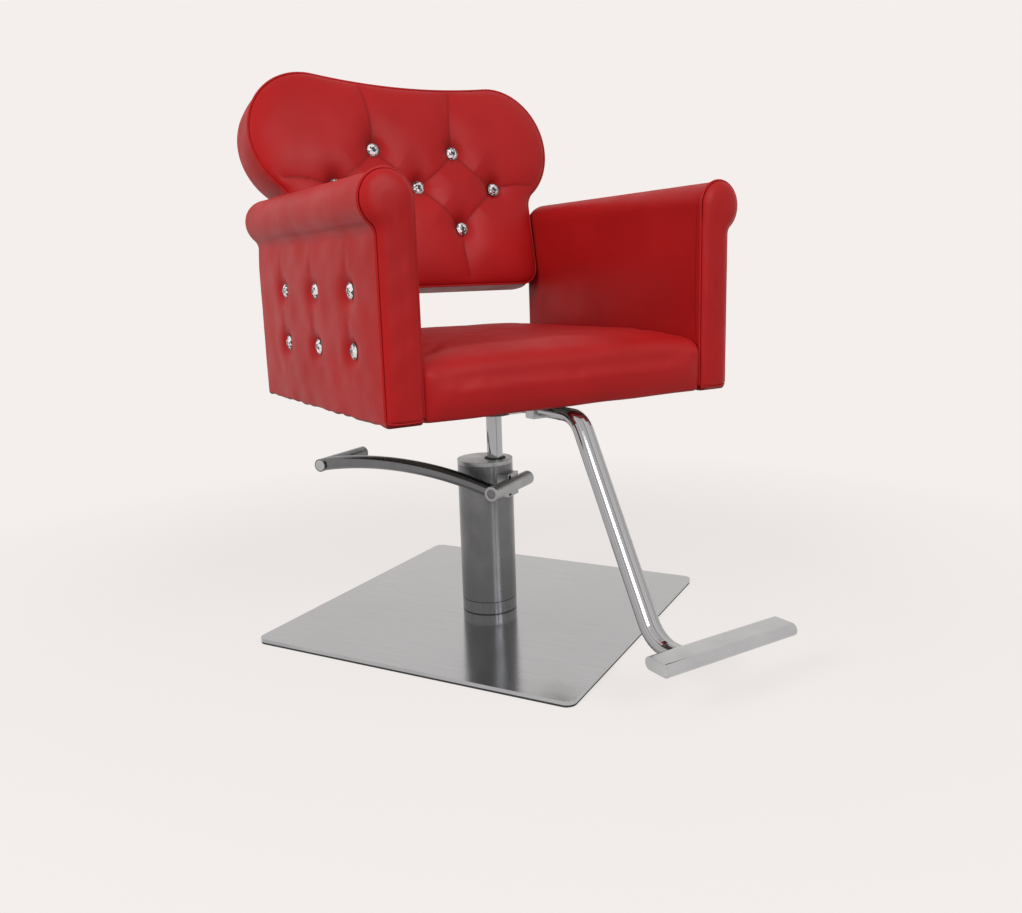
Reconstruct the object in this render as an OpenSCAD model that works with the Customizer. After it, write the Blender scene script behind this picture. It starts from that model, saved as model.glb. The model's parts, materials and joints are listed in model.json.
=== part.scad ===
// Hydraulic salon chair: scroll arms, tufted back, column pump base, swivel seat and footrest.
// Millimetres, +Z up, the seat faces -Y, the ram axis is X = Y = 0 and the floor is Z = 0.

/* [Base] */
// Width of the square base plate
plate_w = 592; // [500:1:700]
// Thickness of the base plate
plate_t = 6; // [4:0.5:12]
// Corner radius of the base plate
plate_corner_r = 16; // [5:1:60]
// Thickness of the rubber sheet under the plate
gasket_t = 3.5; // [1:0.5:6]
// How far the rubber sheet stays inside the plate's edge
gasket_inset = 0.5; // [0:0.5:20]
// Turn of the plate and pump about the column, in degrees
plate_turn = 30.4; // [0:0.1:90]
// Column axis beside the ram axis, along X
column_x = -15; // [-25:0.5:25]
// Column axis behind the ram axis, along Y
column_y = 10.6; // [-25:0.1:25]
// Outer radius of the column
column_r = 49.6; // [40:0.1:70]
// Wall of the column tube
column_wall = 3; // [2:0.5:6]
// Height of the joint line of the foot ring
foot_top = 33; // [20:1:60]
// Height of the top of the column
column_top = 289; // [240:1:360]
// Thickness of the column's cap
cap_t = 7; // [4:0.5:15]

/* [Ram] */
// Radius of the chromed rod
rod_r = 14; // [10:0.5:25]
// Radius of the ram cylinder's bore
bore_r = 19; // [15:0.5:30]
// Wall of the ram cylinder
cylinder_wall = 4; // [2:0.5:8]
// Height of the rod's shoulder under the swivel
rod_shoulder = 366; // [330:1:420]
// Radius of the rod's top spigot
spigot_r = 10; // [6:0.5:13]

/* [Pump lever] */
// Pivot axis in front of the column axis
pivot_off = 62; // [55:0.5:80]
// Height of the pivot axis
pivot_z = 248; // [180:1:270]
// Radius of the pivot shaft
shaft_r = 8; // [5:0.5:12]
// Outer radius of the pivot housing and hub
barrel_r = 12.7; // [9:0.1:20]
// Position of the joint between hub and housing along the pivot axis
joint_a = -30; // [-60:1:20]
// Position of the hub's free end along the pivot axis
hub_a = -92; // [-130:1:-60]
// Position of the housing's closed end along the pivot axis
housing_a = 44; // [20:1:80]
// Radius of the lever arm's tube
arm_tube_r = 12; // [6:0.5:16]
// Radius of the curve of the lever arm
arm_bend_r = 761; // [300:1:1500]
// Distance of the pedal from the column axis
pedal_b = 300; // [200:1:420]
// Height of the pedal's axis
pedal_z = 272; // [150:1:350]
// Length of the pedal bar
pedal_len = 134; // [80:1:200]
// Position of the pump finger along the pivot axis
finger_a = -23.5; // [-28:0.5:-18]

/* [Seat] */
// Height of the underside of the seat and arms
seat_bottom = 408; // [350:1:520]
// Half of the width between the arms
inner_half = 260; // [230:1:300]
// Front of the arms
arm_front = -253; // [-320:1:-200]
// Back of the arms
arm_back = 279; // [220:1:340]
// Height of the seat's crown
seat_crown_z = 514; // [450:1:620]
// Height of the seat's front edge
seat_front_z = 504; // [430:1:600]
// Back edge of the seat pad
seat_back = 262; // [200:1:279]

/* [Arms] */
// Thickness of the arm
arm_thick = 56; // [50:1:80]
// Radius of the hollow under the roll
waist_r = 20; // [8:1:40]
// Radius of the arm roll
roll_r = 39; // [25:0.5:60]
// Height of the roll's axis
roll_z = 711; // [650:1:780]
// Thickness of the front facing
facing_t = 14; // [8:1:30]
// Spacing of the arm buttons along the arm
arm_button_pitch = 141; // [80:1:180]
// Height of the upper row of arm buttons
arm_button_high = 594; // [550:1:640]
// Height of the lower row of arm buttons
arm_button_low = 508; // [450:1:540]

/* [Back] */
// Front seam of the back at its bottom edge, behind the ram axis
back_y = 229; // [180:1:280]
// Height of the back's bottom edge
back_z = 593; // [550:1:680]
// Lean of the back in degrees
back_lean = 11.2; // [0:0.1:25]
// Gap between the back and each arm
back_clear = 8; // [4:0.5:30]
// Thickness of the back from the seam to its rear face
back_t = 88; // [50:1:120]
// How far the lobes' centres lie inside the back's half width
lobe_in = 56; // [30:1:80]
// Height of the lobes' centres above the bottom edge
lobe_y = 277; // [220:1:340]
// Radius of the lobes
lobe_r = 115; // [80:1:150]
// Drop of the top edge at the middle
dip_drop = 13; // [4:1:60]
// Spacing of the back buttons
back_button_pitch = 168; // [120:1:200]

/* [Footrest] */
// Width of the footrest's leg tube
leg_w = 35; // [25:1:60]
// Thickness of the footrest's leg tube
leg_t = 18; // [12:1:30]
// Width of the foot bar, front to back
bar_w = 50; // [30:1:70]
// Thickness of the foot bar
bar_t = 20; // [12:1:30]
// Position of the foot bar in front of the ram axis
bar_y = -497; // [-600:1:-400]
// Height of the foot bar's axis
bar_z = 84; // [60:1:200]
// End of the foot bar to the sitter's right
bar_x_low = -52; // [-220:1:-20]
// End of the foot bar to the sitter's left
bar_x_high = 196; // [20:1:260]
// Fall of the leg below the level, in degrees
leg_fall = 60; // [30:1:80]

/* [Hidden] */

run_gap = 0.05;
seat_gap = 0.02;
soft_gap = 0.3;
past = 1;
arm_outer = inner_half + arm_thick;
back_half = inner_half - back_clear;
lobe_x = back_half - lobe_in;
wood_t = 15;
tube_wall = 2;
plate_top = gasket_t + plate_t;
column_in = column_r - column_wall;
spigot_h = 10;
cylinder_r = bore_r + cylinder_wall;
barrel_gap = 0.4;
shaft_end_gap = 0.6;
finger_reach = 65;
plunger_b = finger_reach - pivot_off;
finger_tip_r = 6;
finger_half_t = 3;
finger_rise = 11;
plunger_r = 6;
plunger_guide_top = 142;
plunger_top = pivot_z + finger_reach * sin(finger_rise) - finger_tip_r - run_gap;
spring_r = 9.5;
spring_wire_r = 1.1;
spring_turns = 7;
plunger_head_t = 6;
plate_thick = 6;
mount_bottom = seat_bottom - plate_thick;
washer_t = 2;
hub_bottom = rod_shoulder + washer_t;
leg_top_z = mount_bottom - leg_t / 2;
bend_r = 45;
low_bend_r = 55;
leg_start_y = -44;
core_in = 18;
core_t = 18;
core_x = inner_half + core_in;
outer_pad_x = core_x + core_t;
pad_top = 690;
pad_front = arm_front + facing_t;
roll_x = inner_half + roll_r;
arm_waist_z = roll_z - sqrt(pow(roll_r + waist_r, 2) - pow(arm_outer + waist_r - roll_x, 2));
waist_turn = atan2(roll_z - arm_waist_z, arm_outer + waist_r - roll_x);
rail_w = 24;
rail_top = 440;
back_pad_depth = 58;
back_corner_r = 34;
fillet_r = 40;
shell_wall = 6;
dip_r = (lobe_x * lobe_x + pow(lobe_r - dip_drop, 2) - lobe_r * lobe_r) / (2 * dip_drop);
fillet_y = lobe_y - sqrt(pow(lobe_r + fillet_r, 2) - pow(back_half + fillet_r - lobe_x, 2));
waist_angle = atan2(fillet_y - lobe_y, back_half + fillet_r - lobe_x);
top_angle = 90 + atan2(lobe_x, dip_r + lobe_r - dip_drop);
rim_r = 12.5;
rim_t = 4;
gem_r = 9.8;
side_bulge = 1.5;
button_sink = 9;
steel = [0.78, 0.78, 0.79];
bright = [0.86, 0.86, 0.88];
dark = [0.32, 0.32, 0.34];
red = [0.68, 0.10, 0.12];
wood = [0.72, 0.56, 0.38];
rubber = [0.08, 0.08, 0.09];
crystal = [0.92, 0.94, 0.97];

// ---- shared shapes ----

// Points of an arc, from angle a0 to angle a1 in n steps.
function arc(cx, cy, r, a0, a1, n) = [
    for (i = [0:n])
        let (a = a0 + (a1 - a0) * i / n)
        [cx + r * cos(a), cy + r * sin(a)]
];

function mirrored(list) = [for (i = [len(list) - 1:-1:0]) [-list[i][0], list[i][1]]];

// Smooth bell of width w at distance d.
function bell(d, w) = exp(-(d * d) / (w * w));

// Distance from point p to the segment a-b.
function seg_dist(p, a, b) =
    let (t = max(0, min(1, ((p - a) * (b - a)) / ((b - a) * (b - a)))))
    norm(p - a - t * (b - a));

// Closed solid through loops of equal point counts, closed by a fan at each end.
module loft(loops, c0, c1) {
    n = len(loops[0]);
    m = len(loops);
    points = concat([c0], [for (l = loops) for (p = l) p], [c1]);
    last = len(points) - 1;
    faces = concat(
        [for (i = [0:n - 1]) [0, 1 + (i + 1) % n, 1 + i]],
        [for (j = [0:m - 2]) for (i = [0:n - 1])
            [1 + j * n + i, 1 + j * n + (i + 1) % n, 1 + (j + 1) * n + i]],
        [for (j = [0:m - 2]) for (i = [0:n - 1])
            [1 + j * n + (i + 1) % n, 1 + (j + 1) * n + (i + 1) % n, 1 + (j + 1) * n + i]],
        [for (i = [0:n - 1]) [last, 1 + (m - 1) * n + i, 1 + (m - 1) * n + (i + 1) % n]]
    );
    polyhedron(points, faces, convexity = 8);
}

// Cord of radius r along a level path, closed on itself or with flat ends; up is square to the path.
module cord(path, r, sides, closed, up) {
    n = len(path);
    spans = closed ? n : n - 1;
    points = [
        for (i = [0:n - 1])
            let (
                ahead = path[closed ? (i + 1) % n : min(i + 1, n - 1)],
                behind = path[closed ? (i + n - 1) % n : max(i - 1, 0)],
                side = cross(ahead - behind, up) / norm(ahead - behind)
            )
            for (k = [0:sides - 1])
                path[i] + r * (cos(360 * k / sides) * side + sin(360 * k / sides) * up)
    ];
    faces = concat(
        [for (i = [0:spans - 1]) for (k = [0:sides - 1])
            [i * sides + k, i * sides + (k + 1) % sides, ((i + 1) % n) * sides + k]],
        [for (i = [0:spans - 1]) for (k = [0:sides - 1])
            [i * sides + (k + 1) % sides, ((i + 1) % n) * sides + (k + 1) % sides,
             ((i + 1) % n) * sides + k]],
        closed ? [] : [[for (k = [sides - 1:-1:0]) k], [for (k = [0:sides - 1]) (n - 1) * sides + k]]
    );
    polyhedron(points, faces, convexity = 8);
}

// Rectangle w x h with rounded corners r, centred.
module rounded_plate(w, h, r, t) {
    linear_extrude(height = t) {
        union() {
            square([w - 2 * r, h], center = true);
            square([w, h - 2 * r], center = true);
            for (sx = [-1, 1]) {
                for (sy = [-1, 1]) {
                    translate([sx * (w / 2 - r), sy * (h / 2 - r)]) circle(r = r, $fn = 48);
                }
            }
        }
    }
}

// Flat-oval section, w wide and t thick.
module oval(w, t) {
    union() {
        square([w - t, t], center = true);
        for (s = [-1, 1]) translate([s * (w - t) / 2, 0]) circle(r = t / 2, $fn = 40);
    }
}

module oval_ring(w, t, wall) {
    difference() {
        oval(w, t);
        oval(w - 2 * wall, t - 2 * wall);
    }
}

// Frame of the base: local X along the pivot axis, local Y towards the pedal.
module base_frame() {
    translate([column_x, column_y, 0]) rotate([0, 0, plate_turn]) children();
}

// Bar from a0 to a1 along the pivot axis.
module along_pivot(a0, a1, r) {
    translate([a0, -pivot_off, pivot_z]) rotate([0, 90, 0]) cylinder(r = r, h = a1 - a0, $fn = 64);
}

// Outward screw head with an across-corners radius and a shank.
module hex_bolt(head_r, head_t, shank_r, shank_l) {
    union() {
        cylinder(r = head_r, h = head_t, $fn = 6);
        translate([0, 0, head_t]) cylinder(r = shank_r, h = shank_l, $fn = 32);
    }
}

// ---- base ----

foot_hole_pcr = 30;
screw_r = 4;
screw_head_r = 2 * screw_r;
screw_head_t = 3;
screw_l = 19;

module foot_places() {
    for (i = [0:3]) rotate([0, 0, 45 + 90 * i]) translate([foot_hole_pcr, 0, 0]) children();
}

module base_gasket() {
    color(rubber) base_frame() difference() {
        rounded_plate(plate_w - 2 * gasket_inset, plate_w - 2 * gasket_inset, plate_corner_r, gasket_t);
        foot_places() translate([0, 0, -past])
            cylinder(r = screw_head_r + 0.8, h = gasket_t + 2 * past, $fn = 48);
    }
}

module base_plate() {
    color(steel) base_frame() difference() {
        translate([0, 0, gasket_t]) rounded_plate(plate_w, plate_w, plate_corner_r, plate_t);
        foot_places() translate([0, 0, gasket_t - past]) {
            cylinder(r = screw_r + 0.5, h = plate_t + 2 * past, $fn = 48);
            cylinder(r = screw_head_r + 0.3, h = screw_head_t + past, $fn = 48);
        }
    }
}

module base_screws() {
    color(dark) base_frame() foot_places() union() {
        translate([0, 0, gasket_t]) cylinder(r = screw_head_r, h = screw_head_t, $fn = 48);
        translate([0, 0, gasket_t + screw_head_t]) cylinder(r = screw_r, h = screw_l, $fn = 48);
    }
}

module column_foot() {
    color(bright) base_frame() difference() {
        union() {
            translate([0, 0, plate_top]) cylinder(r = column_r, h = foot_top - plate_top, $fn = 128);
            translate([0, 0, foot_top]) cylinder(r = column_in - seat_gap, h = spigot_h, $fn = 128);
        }
        foot_places() translate([0, 0, plate_top - past])
            cylinder(r = screw_r + seat_gap, h = screw_l - plate_t + screw_head_t + 2 * past, $fn = 48);
    }
}

window_w = 12;
window_low = 230;
window_high = 266;
housing_screw_a = 2;
housing_screw_dz = 13;
housing_screw_r = 2.5;
housing_head_r = 4;
housing_head_t = 3;
housing_screw_seat = sqrt(column_in * column_in - pow(housing_screw_a + housing_head_r, 2)) - seat_gap;
housing_screw_l = pivot_off - housing_screw_seat - 3;

module column_tube() {
    color(bright) base_frame() difference() {
        translate([0, 0, foot_top]) cylinder(r = column_r, h = column_top - cap_t - foot_top, $fn = 128);
        translate([0, 0, foot_top - past]) cylinder(r = column_in, h = column_top, $fn = 128);
        translate([finger_a - window_w / 2, -column_r - past, window_low])
            cube([window_w, column_r / 2, window_high - window_low]);
        housing_screw_places()
            cylinder(r = housing_screw_r + seat_gap, h = pivot_off - column_in / 2, $fn = 32);
    }
}

// Screws from inside the column into the neck of the pump housing.
module housing_screw_places() {
    for (dz = [-1, 1]) {
        translate([housing_screw_a, -housing_screw_seat, pivot_z + dz * housing_screw_dz])
            rotate([90, 0, 0]) children();
    }
}

gland_r = 18;
gland_lip = 1;
insert_z = column_top - cap_t - spigot_h;
cylinder_low = foot_top + spigot_h;
cylinder_floor = 6;

module column_cap() {
    color(bright) difference() {
        base_frame() union() {
            translate([0, 0, column_top - cap_t]) cylinder(r = column_r, h = cap_t, $fn = 128);
            translate([0, 0, insert_z]) cylinder(r = column_in - seat_gap, h = spigot_h, $fn = 128);
        }
        translate([0, 0, insert_z - past])
            cylinder(r = gland_r, h = cap_t + spigot_h + 2 * past, $fn = 96);
    }
}

module rod_gland() {
    color(dark) difference() {
        union() {
            translate([0, 0, insert_z]) cylinder(r = gland_r - seat_gap, h = cap_t + spigot_h, $fn = 96);
            translate([0, 0, column_top]) cylinder(r = gland_r + gland_lip, h = gland_lip, $fn = 96);
        }
        translate([0, 0, insert_z - past])
            cylinder(r = rod_r + run_gap, h = cap_t + spigot_h + gland_lip + 2 * past, $fn = 96);
    }
}

module ram_cylinder() {
    color(steel) difference() {
        translate([0, 0, cylinder_low]) cylinder(r = cylinder_r, h = insert_z - cylinder_low, $fn = 96);
        translate([0, 0, cylinder_low + cylinder_floor]) cylinder(r = bore_r, h = column_top, $fn = 96);
    }
}

plunger_low = cylinder_low + 40;

module at_plunger() {
    base_frame() translate([finger_a, plunger_b, 0]) children();
}

module pump_cylinder() {
    color(steel) at_plunger() difference() {
        translate([0, 0, cylinder_low])
            cylinder(r = spring_r + 2, h = plunger_guide_top - cylinder_low, $fn = 64);
        translate([0, 0, cylinder_low + cylinder_floor])
            cylinder(r = plunger_r + run_gap, h = plunger_guide_top, $fn = 64);
    }
}

module pump_plunger() {
    color(bright) at_plunger() union() {
        translate([0, 0, plunger_low]) cylinder(r = plunger_r, h = plunger_top - plunger_low, $fn = 64);
        translate([0, 0, plunger_top - plunger_head_t])
            cylinder(r = spring_r + 1.5, h = plunger_head_t, $fn = 64);
    }
}

// Helical wire of the return spring, between the guide and the plunger's head.
module plunger_spring() {
    low = plunger_guide_top + spring_wire_r + 0.1;
    high = plunger_top - plunger_head_t - spring_wire_r - 0.1;
    turn_steps = 12;
    steps = turn_steps * spring_turns;
    sides = 6;
    points = [
        for (i = [0:steps]) for (k = [0:sides - 1])
            let (
                a = 360 * i / turn_steps,
                q = 360 * k / sides,
                r = spring_r + spring_wire_r * cos(q)
            )
            [r * cos(a), r * sin(a), low + (high - low) * i / steps + spring_wire_r * sin(q)]
    ];
    faces = concat(
        [[for (k = [0:sides - 1]) k]],
        [for (i = [0:steps - 1]) for (k = [0:sides - 1])
            [i * sides + k, (i + 1) * sides + k, i * sides + (k + 1) % sides]],
        [for (i = [0:steps - 1]) for (k = [0:sides - 1])
            [i * sides + (k + 1) % sides, (i + 1) * sides + k, (i + 1) * sides + (k + 1) % sides]],
        [[for (k = [sides - 1:-1:0]) steps * sides + k]]
    );
    color(steel) at_plunger() polyhedron(points, faces, convexity = 20);
}

// Housing of the pivot: a barrel with a neck that sits on the column over the window.
neck_a0 = joint_a;
neck_a1 = 8;
neck_h = 40;
finger_w = 7;
finger_hub_r = 11;
finger_room = 1;
cap_dome = 5;

module pump_housing() {
    color(bright) base_frame() difference() {
        union() {
            along_pivot(joint_a, housing_a, barrel_r);
            translate([neck_a0, -pivot_off, pivot_z - neck_h / 2])
                cube([neck_a1 - neck_a0, pivot_off / 2, neck_h]);
        }
        translate([0, 0, pivot_z - neck_h]) cylinder(r = column_r + run_gap, h = 2 * neck_h, $fn = 128);
        along_pivot(joint_a - past, housing_a + past, shaft_r + run_gap);
        translate([finger_a - finger_w / 2 - finger_room, -pivot_off, window_low])
            cube([finger_w + 2 * finger_room, pivot_off / 2, window_high - window_low]);
        along_pivot(finger_a - finger_w / 2 - finger_room, finger_a + finger_w / 2 + finger_room,
            finger_hub_r + 0.3);
        housing_screw_places()
            cylinder(r = housing_screw_r + seat_gap, h = housing_screw_l + seat_gap, $fn = 32);
    }
}

module housing_screws() {
    color(dark) base_frame() housing_screw_places() union() {
        translate([0, 0, -housing_head_t]) cylinder(r = housing_head_r, h = housing_head_t, $fn = 32);
        cylinder(r = housing_screw_r, h = housing_screw_l, $fn = 32);
    }
}

module housing_cap() {
    color(bright) base_frame() translate([housing_a, -pivot_off, pivot_z]) rotate([0, 90, 0])
        rotate_extrude($fn = 64)
            polygon(concat([[0, 0]], arc(barrel_r - cap_dome, 0, cap_dome, 0, 90, 6), [[0, cap_dome]]));
}

// ---- lever ----

hub_plug_in = 1;
hub_plug_t = 5;

module lever_shaft() {
    color(steel) base_frame()
        along_pivot(hub_a + hub_plug_in + hub_plug_t, housing_a - shaft_end_gap, shaft_r);
}

module lever_finger() {
    color(steel) base_frame() difference() {
        translate([finger_a - finger_w / 2, -pivot_off, pivot_z]) rotate([finger_rise, 0, 0]) union() {
            rotate([0, 90, 0]) cylinder(r = finger_hub_r, h = finger_w, $fn = 48);
            translate([0, 0, -finger_half_t]) cube([finger_w, finger_reach, 2 * finger_half_t]);
            translate([0, finger_reach, 0]) rotate([0, 90, 0])
                cylinder(r = finger_tip_r, h = finger_w, $fn = 48);
        }
        along_pivot(hub_a, housing_a, shaft_r + seat_gap);
    }
}

module lever_hub() {
    color(dark) base_frame() difference() {
        along_pivot(hub_a, joint_a - barrel_gap, barrel_r);
        along_pivot(hub_a - past, joint_a + past, shaft_r + seat_gap);
    }
}

module hub_plug() {
    color(dark) base_frame() along_pivot(hub_a + hub_plug_in, hub_a + hub_plug_in + hub_plug_t, shaft_r);
}

// The arm's centre line is a circle arc from the pivot to the pedal.
arm_a = hub_a + arm_tube_r + 1;
arm_chord = norm([pedal_b + pivot_off, pedal_z - pivot_z]);
arm_tilt = atan2(pedal_z - pivot_z, pedal_b + pivot_off);
arm_half = asin(arm_chord / (2 * arm_bend_r));
pedal_a = hub_a - 2;
pedal_plug_l = 10;

module lever_arm() {
    color(dark) base_frame() difference() {
        translate([arm_a, -pivot_off, pivot_z]) rotate([arm_tilt, 0, 0])
            translate([0, arm_chord / 2, -arm_bend_r * cos(arm_half)])
                rotate([90, 0, 90]) rotate([0, 0, 90 - arm_half])
                    rotate_extrude(angle = 2 * arm_half, $fn = 240)
                        translate([arm_bend_r, 0]) difference() {
                            circle(r = arm_tube_r, $fn = 40);
                            circle(r = arm_tube_r - tube_wall, $fn = 40);
                        }
        along_pivot(hub_a - past, joint_a, barrel_r + run_gap);
        translate([pedal_a, pedal_b, pedal_z])
            rotate([0, 90, 0]) cylinder(r = arm_tube_r + run_gap, h = pedal_len, $fn = 64);
    }
}

module pedal_bar() {
    color(dark) base_frame() translate([pedal_a, pedal_b, pedal_z]) rotate([0, 90, 0]) difference() {
        cylinder(r = arm_tube_r, h = pedal_len, $fn = 64);
        translate([0, 0, -past]) cylinder(r = arm_tube_r - tube_wall, h = pedal_len + 2 * past, $fn = 64);
    }
}

module pedal_plugs() {
    color(steel) base_frame() translate([pedal_a, pedal_b, pedal_z]) rotate([0, 90, 0]) {
        for (z = [0, pedal_len - pedal_plug_l]) translate([0, 0, z])
            cylinder(r = arm_tube_r - tube_wall - seat_gap, h = pedal_plug_l, $fn = 64);
    }
}

// ---- ram ----

rod_low = 136;
top_spigot_h = 28;
retainer_r = 4;
retainer_l = 20;
retainer_head_r = 14;
retainer_head_t = 3;
piston_l = 22;
seal_z = rod_low - 14;
seal_t = 6;
seal_in_r = bore_r - 4;
washer_r = 24;

module ram_rod() {
    color(bright) difference() {
        union() {
            translate([0, 0, rod_low]) cylinder(r = rod_r, h = rod_shoulder - rod_low, $fn = 96);
            translate([0, 0, rod_shoulder]) cylinder(r = spigot_r, h = top_spigot_h, $fn = 64);
        }
        translate([0, 0, rod_shoulder + top_spigot_h - retainer_l - 2])
            cylinder(r = retainer_r + seat_gap, h = retainer_l + 2 + past, $fn = 48);
    }
}

module ram_piston() {
    color(steel) difference() {
        translate([0, 0, rod_low - piston_l]) cylinder(r = bore_r - run_gap, h = piston_l, $fn = 96);
        translate([0, 0, seal_z]) difference() {
            cylinder(r = bore_r + past, h = seal_t, $fn = 96);
            cylinder(r = seal_in_r, h = seal_t, $fn = 96);
        }
    }
}

module piston_seal() {
    color(rubber) translate([0, 0, seal_z]) difference() {
        cylinder(r = bore_r - run_gap, h = seal_t, $fn = 96);
        translate([0, 0, -past]) cylinder(r = seal_in_r + seat_gap, h = seal_t + 2 * past, $fn = 96);
    }
}

module swivel_washer() {
    color(steel) translate([0, 0, rod_shoulder]) difference() {
        cylinder(r = washer_r, h = washer_t - run_gap, $fn = 96);
        translate([0, 0, -past]) cylinder(r = spigot_r + seat_gap, h = washer_t + 2 * past, $fn = 64);
    }
}

module retaining_screw() {
    color(dark) translate([0, 0, rod_shoulder + top_spigot_h]) union() {
        translate([0, 0, -retainer_l]) cylinder(r = retainer_r, h = retainer_l, $fn = 48);
        cylinder(r = retainer_head_r, h = retainer_head_t, $fn = 64);
    }
}

// ---- seat mounting ----

hub_r = 32;
hub_recess_z = rod_shoulder + top_spigot_h - run_gap;

module swivel_hub() {
    color(steel) difference() {
        translate([0, 0, hub_bottom]) cylinder(r = hub_r, h = mount_bottom - hub_bottom, $fn = 96);
        translate([0, 0, hub_bottom - past])
            cylinder(r = spigot_r + run_gap, h = mount_bottom - hub_bottom + 2 * past, $fn = 64);
        translate([0, 0, hub_recess_z])
            cylinder(r = retainer_head_r + 1, h = mount_bottom - hub_recess_z + past, $fn = 64);
    }
}

mount_w = 200;
mount_front = -190;
mount_rear = 110;
bolt_x = 82;
bolt_front = -150;
bolt_rear = 90;
bolt_r = 4;
bolt_head_r = 7.5;
bolt_head_t = 5;
thin_r = 3;
thin_head_r = 5.5;
thin_head_t = 4;

module mount_places(z) {
    for (x = [-bolt_x, bolt_x]) {
        for (y = [bolt_front, bolt_rear]) translate([x, y, z]) children();
    }
}

module mount_plate() {
    color(dark) difference() {
        translate([0, (mount_front + mount_rear) / 2, mount_bottom])
            rounded_plate(mount_w, mount_rear - mount_front, 12, plate_thick);
        mount_places(mount_bottom - past) cylinder(r = bolt_r + 0.5, h = plate_thick + 2 * past, $fn = 48);
        clamp_places(mount_bottom - past)
            cylinder(r = thin_r + seat_gap, h = plate_thick + 2 * past, $fn = 32);
    }
}

module mount_bolts() {
    color(steel) mount_places(mount_bottom - bolt_head_t)
        hex_bolt(bolt_head_r, bolt_head_t, bolt_r, plate_thick + wood_t - 2);
}

clamp_y = [-82, -150];
clamp_w = 24;
clamp_t = 4;
clamp_x = leg_w / 2 + 12;
clamp_half = clamp_x + 9;

module clamp_places(z) {
    for (x = [-clamp_x, clamp_x]) {
        for (y = clamp_y) translate([x, y, z]) children();
    }
}

// Straps that hold the leg tube up against the mounting plate.
module footrest_clamps() {
    color(dark) difference() {
        for (y = clamp_y) translate([0, y, 0]) {
            translate([-leg_w / 2 - clamp_t, -clamp_w / 2, mount_bottom - leg_t - clamp_t])
                cube([leg_w + 2 * clamp_t, clamp_w, leg_t + clamp_t]);
            translate([-clamp_half, -clamp_w / 2, mount_bottom - clamp_t])
                cube([2 * clamp_half, clamp_w, clamp_t]);
        }
        translate([0, 0, leg_top_z]) rotate([90, 0, 0]) linear_extrude(height = -2 * mount_front)
            oval(leg_w + 2 * run_gap, leg_t + 2 * run_gap);
        translate([-leg_w / 2 + leg_t / 2, mount_front, leg_top_z])
            cube([leg_w - leg_t, -mount_front, leg_t]);
        clamp_places(mount_bottom - clamp_t - past)
            cylinder(r = thin_r + seat_gap, h = clamp_t + 2 * past, $fn = 32);
    }
}

module clamp_screws() {
    color(steel) clamp_places(mount_bottom - clamp_t - thin_head_t)
        hex_bolt(thin_head_r, thin_head_t, thin_r, clamp_t + plate_thick);
}

// ---- footrest ----

low_corner_y = -434;
drop = leg_top_z - bar_z;
top_tangent = bend_r * tan(leg_fall / 2);
low_tangent = low_bend_r * tan(leg_fall / 2);
top_corner_y = low_corner_y + drop / tan(leg_fall);
leg_end_y = bar_y + (bar_w - bar_t) / 2;
bend_steps = 8;

// Places along the leg's centre line: Y, Z and the fall of its direction in degrees.
leg_line = concat(
    [[leg_start_y, leg_top_z, 0]],
    [for (k = [0:bend_steps]) let (t = leg_fall * k / bend_steps)
        [top_corner_y + top_tangent - bend_r * sin(t), leg_top_z - bend_r * (1 - cos(t)), t]],
    [for (k = [bend_steps:-1:0]) let (t = leg_fall * k / bend_steps)
        [low_corner_y - low_tangent + low_bend_r * sin(t), bar_z + low_bend_r * (1 - cos(t)), t]],
    [[leg_end_y, bar_z, 0]]
);

// Outline of a flat-oval section, w wide and t thick.
function oval_loop(w, t, n) = concat(
    arc((w - t) / 2, 0, t / 2, -90, 90, n),
    arc((t - w) / 2, 0, t / 2, 90, 270, n)
);

// Points of a section placed at every place of the leg's line.
function leg_points(loop) = [
    for (q = leg_line) for (p = loop) [p[0], q[0] - p[1] * sin(q[2]), q[1] + p[1] * cos(q[2])]
];

// Bent flat-oval tube, its wall closed at both ends.
module leg_tube() {
    outer = oval_loop(leg_w, leg_t, 12);
    inner = oval_loop(leg_w - 2 * tube_wall, leg_t - 2 * tube_wall, 12);
    n = len(outer);
    last = len(leg_line) - 1;
    shift = n * (last + 1);
    faces = concat(
        [for (j = [0:last - 1]) for (k = [0:n - 1])
            let (a = j * n + k, b = j * n + (k + 1) % n)
            [a, b, b + n, a + n]],
        [for (j = [0:last - 1]) for (k = [0:n - 1])
            let (a = shift + j * n + k, b = shift + j * n + (k + 1) % n)
            [b, a, a + n, b + n]],
        [for (k = [0:n - 1]) [(k + 1) % n, k, shift + k, shift + (k + 1) % n]],
        [for (k = [0:n - 1]) let (a = last * n + k, b = last * n + (k + 1) % n)
            [a, b, b + shift, a + shift]]
    );
    polyhedron(concat(leg_points(outer), leg_points(inner)), faces, convexity = 8);
}

module footrest_tube() {
    color(bright) difference() {
        leg_tube();
        translate([bar_x_low, bar_y, bar_z]) rotate([90, 0, 90])
            linear_extrude(height = bar_x_high - bar_x_low) oval(bar_w + 2 * run_gap, bar_t + 2 * run_gap);
    }
}

bar_plug_l = 8;

module footrest_bar() {
    color(bright) translate([bar_x_low, bar_y, bar_z]) rotate([90, 0, 90])
        linear_extrude(height = bar_x_high - bar_x_low) oval_ring(bar_w, bar_t, tube_wall);
}

module footrest_plugs() {
    inner_w = bar_w - 2 * tube_wall - 2 * seat_gap;
    inner_t = bar_t - 2 * tube_wall - 2 * seat_gap;
    color(steel) for (x = [bar_x_low, bar_x_high - bar_plug_l]) {
        translate([x, bar_y, bar_z]) rotate([90, 0, 90])
            linear_extrude(height = bar_plug_l) oval(inner_w, inner_t);
    }
}

// ---- seat ----

seat_half = inner_half - soft_gap;
seat_depth = seat_back - arm_front;
seat_mid = (seat_back + arm_front) / 2;

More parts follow.
